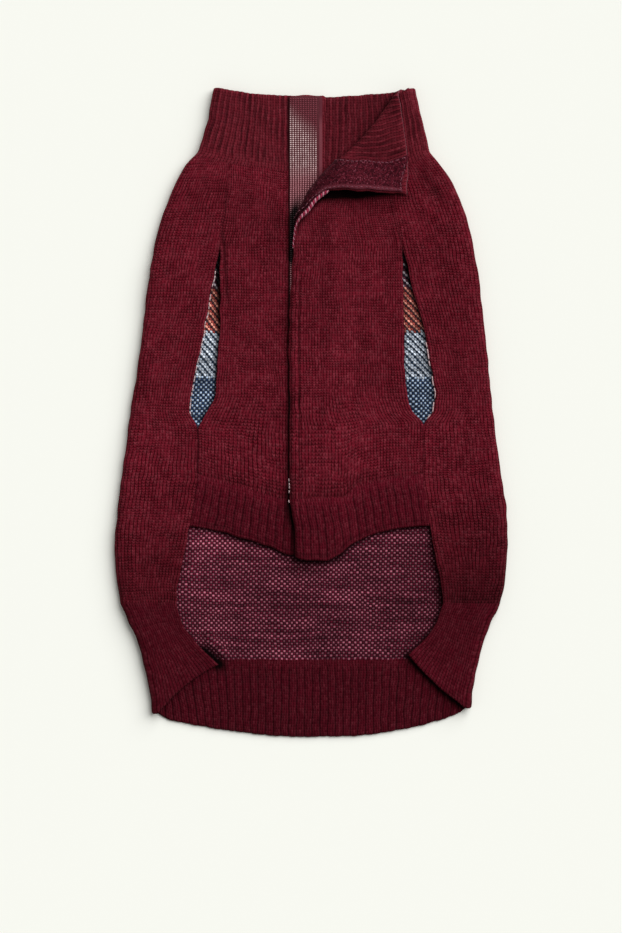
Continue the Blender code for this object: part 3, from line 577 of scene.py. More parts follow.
def cloth(name, middle, uv, sides, free, ribs=0.0, inner_ribs=0.0, valley=0.0, thickness=CLOTH,
          shift=0.0, shade=1.0):
    """A wall of cloth with soft edges. `sides` are the materials of its outer and inner side.
    `free` says how free its top, bottom, first and last edges are, from 0 where they are sewn to
    1, as numbers or as one number for each point; `ribs` is the height of the ribs on the outer
    side, `inner_ribs` on the inner one; `valley` is 1 at the bottom of a trough, where the rib
    material paints shade; `shade` darkens or lightens the yarn's colour, and the piece adds
    painted shade in the troughs of its creases and painted shadow under the edges above it."""
    rows, columns = middle.shape[:2]
    normal = normals_of(middle)
    soft, ribs, inner_ribs, valley = (np.ones((rows, columns)) * value
                                      for value in (1.0, ribs, inner_ribs, valley))
    shapes = (1, -1), (1, -1), (-1, 1), (-1, 1)
    free = [np.reshape(share, shape) for share, shape in zip(free, shapes)]
    # A free edge is rounded off and thinner, and a sewn one keeps its thickness.
    for distance, share in zip(from_edges(middle), free):
        radius, least = 0.7 + 0.8 * share, 0.97 - 0.67 * share
        near = np.clip(distance / radius, 0, 1)
        soft = np.minimum(soft, least + (1 - least) * np.sqrt(1 - (1 - near) ** 2))
    outer = middle + normal * ((thickness / 2 + ribs) * soft + shift)[:, :, None]
    inner = middle - normal * ((thickness / 2 + inner_ribs) * soft - shift)[:, :, None]
    for skin in (outer, inner):
        turned = skin.swapaxes(0, 1)
        edges = (skin[0], skin[1]), (skin[-1], skin[-2]), (turned[0], turned[1]), (turned[-1], turned[-2])
        for share, (edge, beside) in zip(free, edges):
            edge += SEAM_LAP * (1 - share.reshape(-1, 1)) * unit(edge - beside)
    outer[:, :, 2] = np.maximum(outer[:, :, 2], 0.0)  # the floor
    # Painted shade in the troughs of the creases, and painted shadow under the edges above
    upper = np.clip((middle[:, :, 2] - BACK_Z) / LAYER, 0, 1)
    troughs = crease_height(TROUGHS, middle[:, :, 0], middle[:, :, 1]) * upper
    shade = shade * np.maximum(1 + 0.6 * troughs, 0.3) * painted_shadow(middle)
    faces, kinds = wall_faces(rows, columns)
    values = {"valley": np.tile(valley.ravel(), 2), "shade": np.tile(shade.ravel(), 2)}
    piece = mesh_object(name, np.concatenate((outer.reshape(-1, 3), inner.reshape(-1, 3))), faces,
                        (*sides, sides[0]), kinds, np.tile(uv.reshape(-1, 2), (2, 1)), values)
    crisp_where_sewn(piece.data, free, rows, columns)
    return piece


def crisp_where_sewn(mesh, free, rows, columns):
    """Keeps the light on the cloth's faces from rounding off where an edge is sewn to another."""
    sewn = np.zeros((rows, columns), bool)
    for share, edge in zip(free, (sewn[0], sewn[-1], sewn[:, 0], sewn[:, -1])):
        edge |= share.ravel() < 0.5
    sewn = np.tile(sewn.ravel(), 2)
    ends = np.empty(2 * len(mesh.edges), np.int32)
    mesh.edges.foreach_get("vertices", ends)
    a, b = ends.reshape(-1, 2).T
    one_side = (a < rows * columns) == (b < rows * columns)
    sharp = mesh.attributes.new("sharp_edge", "BOOLEAN", "EDGE")
    sharp.data.foreach_set("value", sewn[a] & sewn[b] & one_side)


def stitch_uv(middle, row_y):
    """Stitch counts for a grid: across from its middle row, and down from each row's own y."""
    return grid(travelled(middle[len(middle) // 2]) / WALE, -row_y / COURSE)


def around(path, angle):
    """Unit vectors across a path, at `angle` round it for each of its points."""
    along = unit(np.gradient(path, axis=0))
    side = unit(np.cross(along, (0.0, 0.0, 1.0)))
    return np.cos(angle)[..., None] * side + np.sin(angle)[..., None] * np.cross(side, along)


def tube(path, radius, sides=5):
    """Points and faces of a tube of `radius` along a path, closed at both ends."""
    ring = around(path, spread(0.0, 2 * np.pi, sides)[:, None]).swapaxes(0, 1)
    points = (path[:, None] + ring * np.reshape(radius, (-1, 1, 1))).reshape(-1, 3)
    index = np.arange(len(points)).reshape(len(path), sides)
    a, b = index[:-1], np.roll(index[:-1], -1, axis=1)
    c, d = np.roll(index[1:], -1, axis=1), index[1:]
    faces = np.stack((a, b, c, d), axis=-1).reshape(-1, 4).tolist()
    faces += [index[0][::-1].tolist(), index[-1].tolist()]
    return points, faces


def loose_mesh(name, parts, materials, face_materials=None, shaded=False):
    """One mesh of many small closed shapes, as (points, faces), that ride on the cloth."""
    points, faces = [], []
    for part_points, part_faces in parts:
        offset = sum(map(len, points))
        faces += [[i + offset for i in face] for face in part_faces]
        points.append(part_points)
    points = np.concatenate(points)
    # Shaded pieces take painted shadow under the edges above them
    values = {"shade": painted_shadow(points)} if shaded else None
    piece = mesh_object(name, points, faces, materials, face_materials, values=values)
    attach(piece, "root")


# ---- materials ------------------------------------------------------------------------------------
class Web:
    """The nodes of one material, made and joined by short calls. A value is a number, a colour or
    a socket."""

    def __init__(self, name, roughness, sheen=0.0, sheen_tint=(1.0, 1.0, 1.0, 1.0)):
        self.made = bpy.data.materials.new(name)
        self.made.use_nodes = True
        self.tree = self.made.node_tree
        self.shader = self.tree.nodes["Principled BSDF"]
        self.shader.inputs["Roughness"].default_value = roughness
        self.shader.inputs["Sheen Weight"].default_value = sheen
        self.shader.inputs["Sheen Roughness"].default_value = 0.45
        self.shader.inputs["Sheen Tint"].default_value = sheen_tint
        self.shader.inputs["Specular IOR Level"].default_value = 0.04

    def put(self, value, socket):
        if isinstance(value, bpy.types.NodeSocket):
            self.tree.links.new(value, socket)
        else:
            socket.default_value = value

    def node(self, kind, *values, out=0, **settings):
        node = self.tree.nodes.new("ShaderNode" + kind)
        for key, value in settings.items():
            setattr(node, key, value)
        for value, socket in zip(values, node.inputs):
            if value is not None:
                self.put(value, socket)
        return node.outputs[out]

    def math(self, operation, *values):
        return self.node("Math", *values, operation=operation)

    def chain(self, operation, total, *values):
        """One operation on a first value and each further value in turn."""
        for value in values:
            total = self.math(operation, total, value)
        return total

    def times(self, *values):
        return self.chain("MULTIPLY", *values)

    def plus(self, *values):
        return self.chain("ADD", *values)

    def minus(self, *values):
        return self.chain("SUBTRACT", *values)

    def floor(self, value):
        return self.math("FLOOR", value)

    def blend(self, factor, a, b):
        """From a to b as the factor goes from 0 to 1, for numbers."""
        return self.plus(self.times(a, self.minus(1.0, factor)), self.times(b, factor))

    def ramp(self, value, low, high, to_low=0.0, to_high=1.0):
        return self.node("MapRange", value, low, high, to_low, to_high, interpolation_type="SMOOTHSTEP")

    def mix(self, factor, a, b):
        """From a to b as the factor goes from 0 to 1, for colours."""
        return self.node("Mix", factor, *[None] * 5, a, b, out=2, data_type="RGBA")

    def scaled(self, colour, factor):
        return self.node("VectorMath", colour, None, None, factor, operation="SCALE")

    def place(self):
        """The point in the object's own space, in metres."""
        return self.node("TexCoord", out=3)

    def noise(self, scale, detail=2.0, vector=None, roughness=0.5, out=0):
        return self.node("TexNoise", vector or self.place(), None, scale, detail, roughness, out=out)

    def cell_noise(self, *counts):
        """One random number from 0 to 1 for each whole number, or each pair of them."""
        if len(counts) == 1:
            return self.node("TexWhiteNoise", None, *counts, noise_dimensions="1D")
        return self.node("TexWhiteNoise", self.node("CombineXYZ", *counts), noise_dimensions="2D")

    def split(self, vector):
        """x and y of a vector."""
        return self.node("SeparateXYZ", vector).node.outputs[:2]

    def stitch(self):
        """How many stitches across and down a point lies."""
        return self.split(self.node("UVMap", uv_map="stitch"))

    def attribute(self, name):
        return self.node("Attribute", out=2, attribute_name=name)

    def bump(self, height, distance):
        """Lets the light fall as if the surface stood out by `distance` metres where height is 1."""
        node = self.tree.nodes.new("ShaderNodeBump")
        node.inputs["Distance"].default_value = distance
        self.put(height, node.inputs["Height"])
        self.put(node.outputs[0], self.shader.inputs["Normal"])

    def woolly(self, height, distance):
        """A bump with fine fibres over it."""
        self.bump(self.plus(height, self.times(self.noise(2400.0), 0.25)), distance)

    def colour(self, socket):
        self.put(socket, self.shader.inputs["Base Color"])


def rgb(red, green, blue):
    return (red, green, blue, 1.0)


WARM = rgb(1.0, 0.25, 0.28)  # tint of the wool's sheen
# Pale fibre ends, whose colour is partly a painted highlight
PALE_FIBRE_AND_GLINT = rgb(0.275, 0.058, 0.077)  # pale fibre ends


def knitted(web, u, v, rows, gaps):
    """Height from 0 to 1 of plain knit: two slanting legs in each stitch, as rows of small Vs.
    `rows` and `gaps` say how much the rows and the gaps between the wales show."""
    across = web.times(web.math("ABSOLUTE", web.plus(web.math("FRACT", u), -0.5)), 2.0)
    wale = web.times(web.ramp(across, 1.0, 0.5), web.ramp(across, -0.1, 0.2, 0.65, 1.0))
    turn = web.times(web.plus(v, web.times(across, 0.5)), 2 * np.pi)
    yarn = web.plus(0.5, web.times(-0.5, web.math("COSINE", turn)))
    return web.times(web.blend(gaps, 1.0, wale), web.blend(rows, 1.0, yarn))


def wavy_stitches(web, amount):
    """Stitch counts with the small wander that rows of hand-washed knit have."""
    u, v = web.stitch()
    for scale, reach in ((130.0, amount), (26.0, 3 * amount)):
        across, down = web.split(web.noise(scale, out=1))
        u = web.plus(u, web.times(web.plus(across, -0.5), reach))
        v = web.plus(v, web.times(web.plus(down, -0.5), reach * 1.4))
    return u, v


def yarn_tone(web, u, v, spots=0.35, streaks=0.3, patches=0.4, hem_shade=(0.36, 0.60)):
    """A factor about 1: each stitch has its own tone, each row its streaks, and the whole cloth is
    painted darker to the hem as painted shade where the light falls off, as the last argument
    says for its left and its right. It also takes the piece's `shade` attribute, mostly
    painted shade."""
    own = web.plus(web.cell_noise(web.floor(u), web.floor(v)), -0.5)
    row = web.node("CombineXYZ", web.times(u, 0.035), web.floor(v))
    streak = web.plus(web.noise(0.9, 1.0, vector=row), -0.5)
    patch = web.plus(web.noise(38.0), -0.5)
    tone = web.plus(1.0, web.times(own, spots), web.times(streak, streaks), web.times(patch, patches))
    x, y = web.split(web.place())
    # Painted shade: darker towards the hem, as if the light fell off there
    low, right = web.ramp(y, -0.015, -0.130), web.ramp(x, -0.080, 0.090, *hem_shade)
    return web.times(tone, web.minus(1.0, web.times(low, right)), web.attribute("shade"))


def plain_knit():
    """Burgundy stockinette, right side."""
    web = Web("burgundy_knit", 0.95, 0.05, WARM)
    u, v = wavy_stitches(web, 0.5)
    rows = web.ramp(web.noise(120.0, 1.0), 0.35, 0.65, 0.45, 0.75)
    gaps = web.ramp(web.noise(90.0, 1.0), 0.35, 0.65, 0.95, 0.65)
    height = knitted(web, u, v, rows, gaps)
    # The yarn's colour, painted near black in the gaps between stitches as painted shade, with pale fibre
    # ends over the tops, partly a painted highlight
    base = web.mix(web.ramp(height, 0.0, 0.75), rgb(0.025, 0.0003, 0.0012), rgb(0.122, 0.0070, 0.0155))
    base = web.mix(web.times(fuzz_and_glint(web, u, v), height), base, PALE_FIBRE_AND_GLINT)
    web.colour(web.scaled(base, yarn_tone(web, u, v)))
    web.woolly(height, 0.00036)
    return web.made


def fuzz_and_glint(web, u, v):
    """How far a stitch is covered by pale fibre ends, partly a painted highlight, from 0 to about a
    third.
    """
    own = web.cell_noise(web.floor(web.times(u, 2.0)), web.floor(v))
    return web.times(0.34, web.math("POWER", own, 2.5))


def rib_knit(name, deep, pale, trough_depth):
    """Burgundy rib: knit stitches on the ridges, troughs between them darkened with painted shade."""
    web = Web(name, 0.95, 0.04, WARM)
    u, v = wavy_stitches(web, 0.45)
    height = knitted(web, u, v, 0.45, 0.75)
    # Painted shade in the troughs, and near black in the gaps between stitches; pale fibre ends over the
    # tops, partly a painted highlight
    trough = web.ramp(web.attribute("valley"), 0.25, 1.0)
    base = web.mix(web.ramp(height, 0.0, 0.75), deep, pale)
    base = web.mix(web.times(fuzz_and_glint(web, u, v), height, 0.7), base, PALE_FIBRE_AND_GLINT)
    own = web.cell_noise(web.floor(web.times(u, 0.5)))
    depth = web.times(web.plus(0.75, web.times(own, 0.5)), trough_depth)
    shade = web.minus(1.0, web.times(trough, depth))
    web.colour(web.scaled(base, web.times(shade, yarn_tone(web, u, v, 0.3, 0.1, hem_shade=(0.33, 0.28)))))
    web.woolly(height, 0.0003)
    return web.made


# The bands of the two-colour inside: y of the band's top in mm, 1 for loops that repeat in
# slanting lines of three or 0 for loops that alternate, and the repeat's yarns. Alternating loops
# use the first and the last.
BANDS = (
    (170.0, 0, rgb(0.110, 0.020, 0.032), rgb(0.110, 0.020, 0.032), rgb(0.060, 0.006, 0.012)),
    (112.0, 1, rgb(0.48, 0.40, 0.44), rgb(0.080, 0.020, 0.034), rgb(0.016, 0.011, 0.018)),
    (78.0, 1, rgb(0.56, 0.225, 0.170), rgb(0.25, 0.045, 0.038), rgb(0.032, 0.014, 0.018)),
    (51.0, 1, rgb(0.43, 0.47, 0.53), rgb(0.235, 0.265, 0.310), rgb(0.010, 0.018, 0.032)),
    (21.0, 0, rgb(0.260, 0.330, 0.430), rgb(0.30, 0.40, 0.50), rgb(0.009, 0.019, 0.052)),
    (-9.0, 0, rgb(0.62, 0.42, 0.38), rgb(0.30, 0.10, 0.13), rgb(0.030, 0.020, 0.040)),
    (-44.0, 0, rgb(0.315, 0.092, 0.130), rgb(0.240, 0.074, 0.110), rgb(0.090, 0.0046, 0.0165)),
)
SLANTING, FIRST, SECOND, THIRD = range(1, 5)


def banded(web, column, y):
    """One column of BANDS as a socket that steps at each band's top; y is in millimetres."""
    value, join = BANDS[0][column], web.blend if column == SLANTING else web.mix
    for band in BANDS[1:]:
        value = join(web.math("LESS_THAN", y, band[0]), value, band[column])
    return value


def looped(web, u, v, slanting):
    """Height from 0 to 1 of the wrong side of the knit: one loop in each stitch, round where
    `slanting` is 0 and drawn out along the slant where it is 1."""
    across, down = (web.plus(web.math("FRACT", count), -0.5) for count in (u, v))
    beside = web.math("POWER", web.minus(across, down), 2.0)
    along = web.math("POWER", web.plus(across, down), 2.0)
    drawn = web.blend(slanting, 0.5, 0.12)
    return web.ramp(web.plus(web.times(beside, 0.5), web.times(along, drawn)), 0.28, 0.02)


def inside_knit():
    """The wrong side of the two-colour knit: loops in rows, coloured by their place in the repeat."""
    web = Web("two_colour_inside", 0.95, 0.04, WARM)
    u, v = wavy_stitches(web, 0.16)
    u, v = web.times(u, WALE / INSIDE_WALE), web.times(v, COURSE / INSIDE_COURSE)
    column, row = web.floor(u), web.floor(v)
    teeth = web.times(web.math("FLOORED_MODULO", column, 2.0), INSIDE_COURSE)
    y = web.plus(web.times(row, -INSIDE_COURSE), teeth, -INSIDE_COURSE)
    thirds = web.math("FLOORED_MODULO", web.minus(column, row), 3.0)
    halves = web.times(2.0, web.math("FLOORED_MODULO", web.plus(column, row), 2.0))
    slanting = banded(web, SLANTING, y)
    kind = web.blend(slanting, halves, thirds)
    streak = web.node("CombineXYZ", web.times(u, 0.08), web.times(v, 0.75))
    dyed = web.ramp(web.noise(0.5, 2.0, vector=streak), 0.35, 0.65, 0.50, 1.26)
    pale = web.scaled(banded(web, FIRST, y), dyed)
    colour = web.mix(web.math("GREATER_THAN", kind, 0.5), pale, banded(web, SECOND, y))
    colour = web.mix(web.math("GREATER_THAN", kind, 1.5), colour, banded(web, THIRD, y))
    height = looped(web, u, v, slanting)
    # Painted shade: the loops darker towards the gaps between them, and the strong uneven patches partly
    # painted shade too
    tone = web.times(web.ramp(height, 0.0, 1.0, 0.30, 1.2),
                     yarn_tone(web, u, v, 0.6, 0.7, 0.9, (0.33, 0.38)))
    web.colour(web.scaled(colour, tone))
    web.woolly(height, 0.00045)
    return web.made


def flap_inside():
    """The wrong side of the belly fronts: plum loops."""
    web = Web("front_inside", 0.95, 0.05, WARM)
    u, v = wavy_stitches(web, 0.3)
    height = looped(web, u, v, 0.0)
    # Painted shade: the loops' colour goes near black in the gaps between them
    base = web.mix(height, rgb(0.030, 0.003, 0.007), rgb(0.125, 0.018, 0.032))
    web.colour(web.scaled(base, yarn_tone(web, u, v, 0.6, 0.4)))
    web.bump(height, 0.00038)
    return web.made


def hook_ground():
    """The woven ground of the hook tape, with a smooth border beside the underlap."""
    web = Web("hook_ground", 0.6)
    grain = web.noise(1500.0)
    ground = web.mix(grain, rgb(0.045, 0.007, 0.011), rgb(0.125, 0.030, 0.038))
    x, y = web.split(web.place())
    border = web.mix(web.ramp(y, 0.187, 0.178), rgb(0.092, 0.017, 0.026), rgb(0.155, 0.036, 0.048))
    ground = web.mix(web.ramp(x, 0.0049, 0.0054), ground, border)
    # The `shade` attribute brings painted shadow under the right front's free edge
    web.colour(web.scaled(ground, web.attribute("shade")))
    web.bump(grain, 0.0002)
    return web.made


def hook_nylon():
    """The moulded hooks: clear nylon, with a painted reflection that makes it pale where the light falls
    along it.
    """
    web = Web("hook_nylon", 0.35)
    web.shader.inputs["Specular IOR Level"].default_value = 0.3
    x, y = web.split(web.place())
    # Painted reflection: the hooks pale where the light falls along them, pinker lower down; painted
    # shadow from the `shade` attribute
    painted_reflection = web.ramp(web.plus(y, web.times(x, 0.9)), 0.184, 0.166)
    tinted = web.ramp(y, 0.158, 0.142)
    fleck = web.ramp(web.noise(260.0), 0.35, 0.65)
    pale = web.mix(fleck, rgb(0.60, 0.40, 0.40), rgb(0.84, 0.62, 0.61))
    pale = web.mix(tinted, pale, rgb(0.60, 0.25, 0.28))
    nylon = web.mix(painted_reflection, rgb(0.230, 0.040, 0.060), pale)
    web.colour(web.scaled(nylon, web.attribute("shade")))
    return web.made


def loop_pile():
    """The brushed loops of the loop tape: plum, with paler flecks where loops catch the light,
    and a smooth border towards the free edge."""
    web = Web("loop_pile", 0.95, 0.06, rgb(1.0, 0.4, 0.5))
    loops = web.noise(760.0, 3.0, roughness=0.7)
    tuft = web.noise(1100.0)
    base = web.mix(web.ramp(loops, 0.40, 0.66), rgb(0.028, 0.0025, 0.0055), rgb(0.098, 0.0095, 0.0185))
    base = web.mix(web.ramp(tuft, 0.61, 0.70), base, rgb(0.22, 0.050, 0.075))
    across, y = web.stitch()
    border = web.times(web.ramp(across, 0.84, 0.90), web.ramp(y, 138.0, 146.0))
    base = web.mix(border, base, rgb(0.110, 0.0195, 0.0300))
    # The `shade` attribute brings the tape's painted shade
    web.colour(web.scaled(base, web.attribute("shade")))
    web.bump(web.plus(loops, web.times(tuft, 0.5)), 0.0009)
    return web.made


def yarn(name, colour):
    """Plied yarn or thread of one colour."""
    web = Web(name, 0.85, 0.2)
    twist = web.noise(1900.0)
    web.colour(web.scaled(colour[:3], web.ramp(twist, 0.3, 0.7, 0.55, 1.15)))
    web.bump(twist, 0.0002)
    return web.made


def floor_paper():
    """Pale cream paper."""
    web = Web("floor_paper", 0.95)
    web.colour(web.mix(web.noise(900.0), rgb(0.898, 0.906, 0.846), rgb(0.904, 0.912, 0.852)))
    return web.made


# ---- the pieces -------------------------------------------------------------------------------------
def finished(piece, node):
    """Puts a cloth piece in the place of its solid, which it hides."""
    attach(piece, "root")
    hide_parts(node)


def near_join(distance, change, reach=RIB_JOIN):
    """A factor that is 1 + change at the join of knit and rib and goes to 1 over `reach`."""
    return 1 + change * ease(1 - distance / reach)


def seam_strength(y, side):
    """How strongly the left or right side seam shows as a dark line of painted shade at y; not beside a
    leg hole.
    """
    above, top_y, below = ((0.4, 165.0, 0.7), (0.5, 240.0, 0.4))[side]
    above = above * ease((y - SLIT_TOP_Y) / 4.0) * ease((top_y - y) / 60.0)
    return above + below * ease((SLIT_END_Y - y) / 4.0) * ease((y + 80.0) / 50.0)


def side_free(y, wrap, belly):
    """How free the edges at a side seam are at y: sewn, but not beside the leg hole."""
    return np.clip(np.abs(read(SECTIONS, y, wrap) - read(SECTIONS, y, belly)) / 1.5, 0, 1)


def wrap_edge_lift(from_edge, side):
    """How far the left or right wrap stands up below the belly, at a distance from its edge."""
    return WRAP_LIFT[side] * np.exp(-((from_edge / WRAP_LIFT_REACH[side]) ** 2))


def back_panel(outside, inside):
    """The back and its two wraps: one panel, folded over at both sides."""
    row_y = np.linspace(NECK_Y, HEM_RIB_Y, 164)
    rows = []
    for y in row_y:
        side_l, wrap_l, wrap_r, side_r = (read(SECTIONS, y, column)
                                          for column in (SIDE_L, WRAP_L, WRAP_R, SIDE_R))
        low = FRONT_Z + (HEM_FRONT_Z - FRONT_Z) * ease((HEM_RISE_Y - y) / HEM_RISE_REACH)
        x_l = crowded(wrap_l, side_l + SIDE_RADIUS, 40)
        x_r = np.append(crowded(wrap_r, side_r - SIDE_RADIUS, 40), side_r - SIDE_RADIUS)[::-1]
        lifted = ease((WRAP_LIFT_Y - y) / WRAP_LIFT_RISE)
        left, right = (
            layer(x, at_neck(x, y), side_lift(x, fold, low) + lifted * wrap_edge_lift(x - wrap, side))
            for side, x, wrap, fold in ((0, x_l, wrap_l, side_l), (1, x_r, wrap_r, side_r)))
        x = np.linspace(side_l + SIDE_RADIUS, side_r - SIDE_RADIUS, 140)
        back = layer(x, bent(x, at_neck(x, y), BACK_HEM_SEAM, HEM_RIB_Y, HEM_REACH), BACK_Z)
        rows.append(round_body(left, (side_l, y), back, (side_r, y), right, 9))
    rows = np.array(rows)
    middle = settled(rows)
    uv = stitch_uv(middle, row_y)
    uv[:, :, 1] = -rows[:, :, 1] / COURSE
    from_neck, from_hem, from_left, from_right = from_edges(middle)
    shade = seam_shade(from_left, seam_strength(row_y, 0)[:, None])
    shade = shade * seam_shade(from_right, seam_strength(row_y, 1)[:, None])
    near_neck = near_join(from_neck, np.where(middle[:, :, 0] < 0, 0.14, -0.09), NECK_JOIN)
    is_wrap = middle[:, :, 2] > FRONT_Z - 1
    shade = shade * np.where(is_wrap, near_neck * near_join(from_hem, -0.08), 1.0)
    shade = shade * (1 + 0.2 * ~is_wrap * ease((-20.0 - middle[:, :, 0]) / 50.0))
    below_belly = ease((BELLY_HEM_Y + 2.0 - row_y) / 4.0)
    free = [np.maximum(side_free(row_y, wrap, belly), below_belly)
            for wrap, belly in ((WRAP_L, BELLY_L), (WRAP_R, BELLY_R))]
    piece = cloth("back_and_wraps", middle, uv, (outside, inside), (0, 0, *free), shade=shade)
    finished(piece, "back_panel")


def hem_corner(side, share, steps):
    """The hem band's upper layer on one side, from its inner edge to the side fold, and where that
    fold is."""
    inner_x, inner_y = (read(HEM_INNER, share, column + 2 * side) for column in (1, 2))
    side_y = HEM_RIB_Y + (HEM_CORNER_Y[side] - HEM_RIB_Y) * share
    side_x = read(HEM_SIDES, side_y, 1 + side)
    fold_x = side_x - np.sign(side_x) * SIDE_RADIUS
    s = spread(0.0, 1.0, steps)
    x = inner_x + (fold_x - inner_x) * s
    y = inner_y + (side_y - inner_y) * s + HEM_BOW[side] * share * 4 * s * (1 - s)
    raised = CORNER_LIFT[side] * ease((share - 0.75) / 0.25) * (1 - s)
    raised = raised + wrap_edge_lift(x - inner_x, side) * ease((0.35 - share) / 0.35)
    low = HEM_FRONT_Z - CORNER_DROP[side] * share
    return layer(x, y, side_lift(x, side_x, low) + raised), (side_x, side_y)


def upright(s, left, right):
    """x along the hem band's back at share s, between its sides at left and right. The ribs keep
    the x that they have at the corners, and only those near the sides lean out."""
    low_left, low_right = HEM_SIDES[-1][1] + SIDE_RADIUS, HEM_SIDES[-1][2] - SIDE_RADIUS
    out_left, out_right = left + SIDE_RADIUS - low_left, right - SIDE_RADIUS - low_right
    to_side = 2 * s - 1
    lean = out_left * np.clip(-to_side, 0, 1) ** 4 + out_right * np.clip(to_side, 0, 1) ** 4
    return low_left + s * (low_right - low_left) + lean


def hem_rib(rib):
    """The ribbed band round the back's lower edge, folded over at both corners."""
    corner_ribs, back_ribs = 7, round((HEM_SIDES[-1][2] - HEM_SIDES[-1][1]) / BROAD_PITCH)
    corner_steps, back_steps = corner_ribs * BROAD_STEPS, back_ribs * BROAD_STEPS + 1
    s = np.linspace(0.0, 1.0, back_steps)
    edge_y = read(HEM_EDGE, HEM_EDGE[0][0] + s * (HEM_EDGE[-1][0] - HEM_EDGE[0][0]))
    seam_y = read(BACK_HEM_SEAM, upright(s, SECTIONS[-1][SIDE_L], SECTIONS[-1][SIDE_R]))
    rows = []
    for share in np.concatenate(([0.0, 0.012], np.linspace(0.03, 0.97, 38), [0.985, 1.0])):
        left, left_side = hem_corner(0, share, corner_steps)
        right, right_side = hem_corner(1, share, corner_steps)
        back = layer(upright(s, left_side[0], right_side[0]), seam_y + (edge_y - seam_y) * share, BACK_Z)
        rows.append(round_body(left, left_side, back, right_side, right[::-1], FOLD_STEPS))
    middle = settled(np.array(rows))
    phase = np.concatenate((
        spread(0, corner_ribs, corner_steps),
        spread(corner_ribs, corner_ribs + 1, FOLD_STEPS),
        corner_ribs + 1 + np.linspace(0, back_ribs, back_steps),
        corner_ribs + 1 + back_ribs + np.linspace(0, 1, FOLD_STEPS + 1)[1:],
        corner_ribs + 2 + back_ribs + np.linspace(0, corner_ribs, corner_steps + 1)[1:],
    ))
    facing_up = normals_of(middle)[:, :, 2] > 0
    from_top, from_bottom = from_edges(middle)[:2]
    corner = np.minimum(phase, phase[-1] - phase) - corner_ribs
    begun = risen(from_top) * (0.45 + 0.55 * ease(corner / 0.8))
    ridge = broad_ridge(phase)[None] * begun
    middle = scalloped(middle, ridge, from_bottom, -1)
    piece = cloth("hem_band", middle, grid(phase * 3, from_top.mean(axis=1) / COURSE), (rib, rib),
                  (0, 1, 1, 1), BROAD_RISE * facing_up * ridge, BROAD_RISE * ~facing_up * ridge,
                  begun - ridge, shade=np.where(facing_up, near_join(from_top, 0.06), 1.0))
    finished(piece, "hem_rib")


def risen(distance):
    """From 0 to 1 as a rib rises from the seam where it begins."""
    return ease((distance - 0.5) / 6.0)


def broad_ridge(phase):
    """Height from 0 to 1 of a rib that is two stitches wide with one sunk stitch between."""
    from_trough = np.abs((phase + 0.5) % 1.0 - 0.5)
    return 1 - np.exp(-((from_trough / 0.19) ** 2))


def scalloped(middle, ridge, from_edge, row):
    """The middle surface with its free edge drawn out a little on every rib; row says which."""
    away = unit(middle[row] - middle[row + (1 if row == 0 else -1)])
    reach = 0.2 * (ridge - 0.5) * ease(1 - from_edge / 3.0)
    return middle + reach[:, :, None] * away[None]


def fine_ridge(phase):
    """Height from 0 to 1 of a rib of one raised and one sunk stitch."""
    return (0.5 - 0.5 * np.cos(2 * np.pi * phase)) ** 0.8


def fanned(length, usual, t):
    """Distance along a row of `length` at share t, with its extra over `usual` near the far end."""
    return usual * t + (length - usual) * t**3


def collar_flat(t, share, side_x):
    """x and y of the collar's right end before it is turned back. t goes from 1 at the side fold to
    0 beside the loop tape, and on below 0 along the tape."""
    start = COLLAR_EDGE_X + TAPE_INSET + TAPE_WIDTH
    x, at_seam = (
        np.where(t < 0, start + t * TAPE_RUN,
                 start + fanned(end - SIDE_RADIUS - start, COLLAR_USUAL_X - start, t))
        for end in (side_x, SEAM_END_X))
    top_y, seam_y = read(COLLAR_TOP_RIGHT, x), read(NECK_SEAM, at_seam)
    return x, top_y + (seam_y - top_y) * share


def collar_rows(shares, left_steps, back_steps, right_t):
    """The collar's middle surface: left front, back and right front, neck edge to neck seam."""
    usual_front, usual_back = UNDERLAP_X + COLLAR_USUAL_X - 5, COLLAR_USUAL_X - 3
    rows = []
    for share in shares:
        side_y = COLLAR_SIDES[0][0] + (NECK_Y - COLLAR_SIDES[0][0]) * share
        left, right = (read(COLLAR_SIDES, side_y, side) for side in (1, 2))
        t, c = spread(0.0, 1.0, left_steps), np.linspace(-1.0, 1.0, back_steps)
        front_x = UNDERLAP_X - fanned(UNDERLAP_X - left - SIDE_RADIUS, usual_front, t)
        half = (right - left) / 2 - SIDE_RADIUS
        back_x = (left + right) / 2 + np.sign(c) * fanned(half, usual_back, np.abs(c))
        front_y, back_y = (read(top, x) * (1 - share) + read(NECK_SEAM, x) * share
                           for top, x in ((COLLAR_TOP_LEFT, front_x), (COLLAR_TOP_BACK, back_x)))
        flat_x, flat_y = collar_flat(right_t, share, right)
        turned = turned_back(flat_x, flat_y)
        turned[:, 2] += side_lift(flat_x, right, FRONT_Z) - FRONT_Z
        front = layer(front_x, front_y, side_lift(front_x, left, FRONT_Z))
        rows.append(round_body(front, (left, side_y), layer(back_x, back_y, BACK_Z), (right, side_y),
                               turned, FOLD_STEPS))
    return np.array(rows)


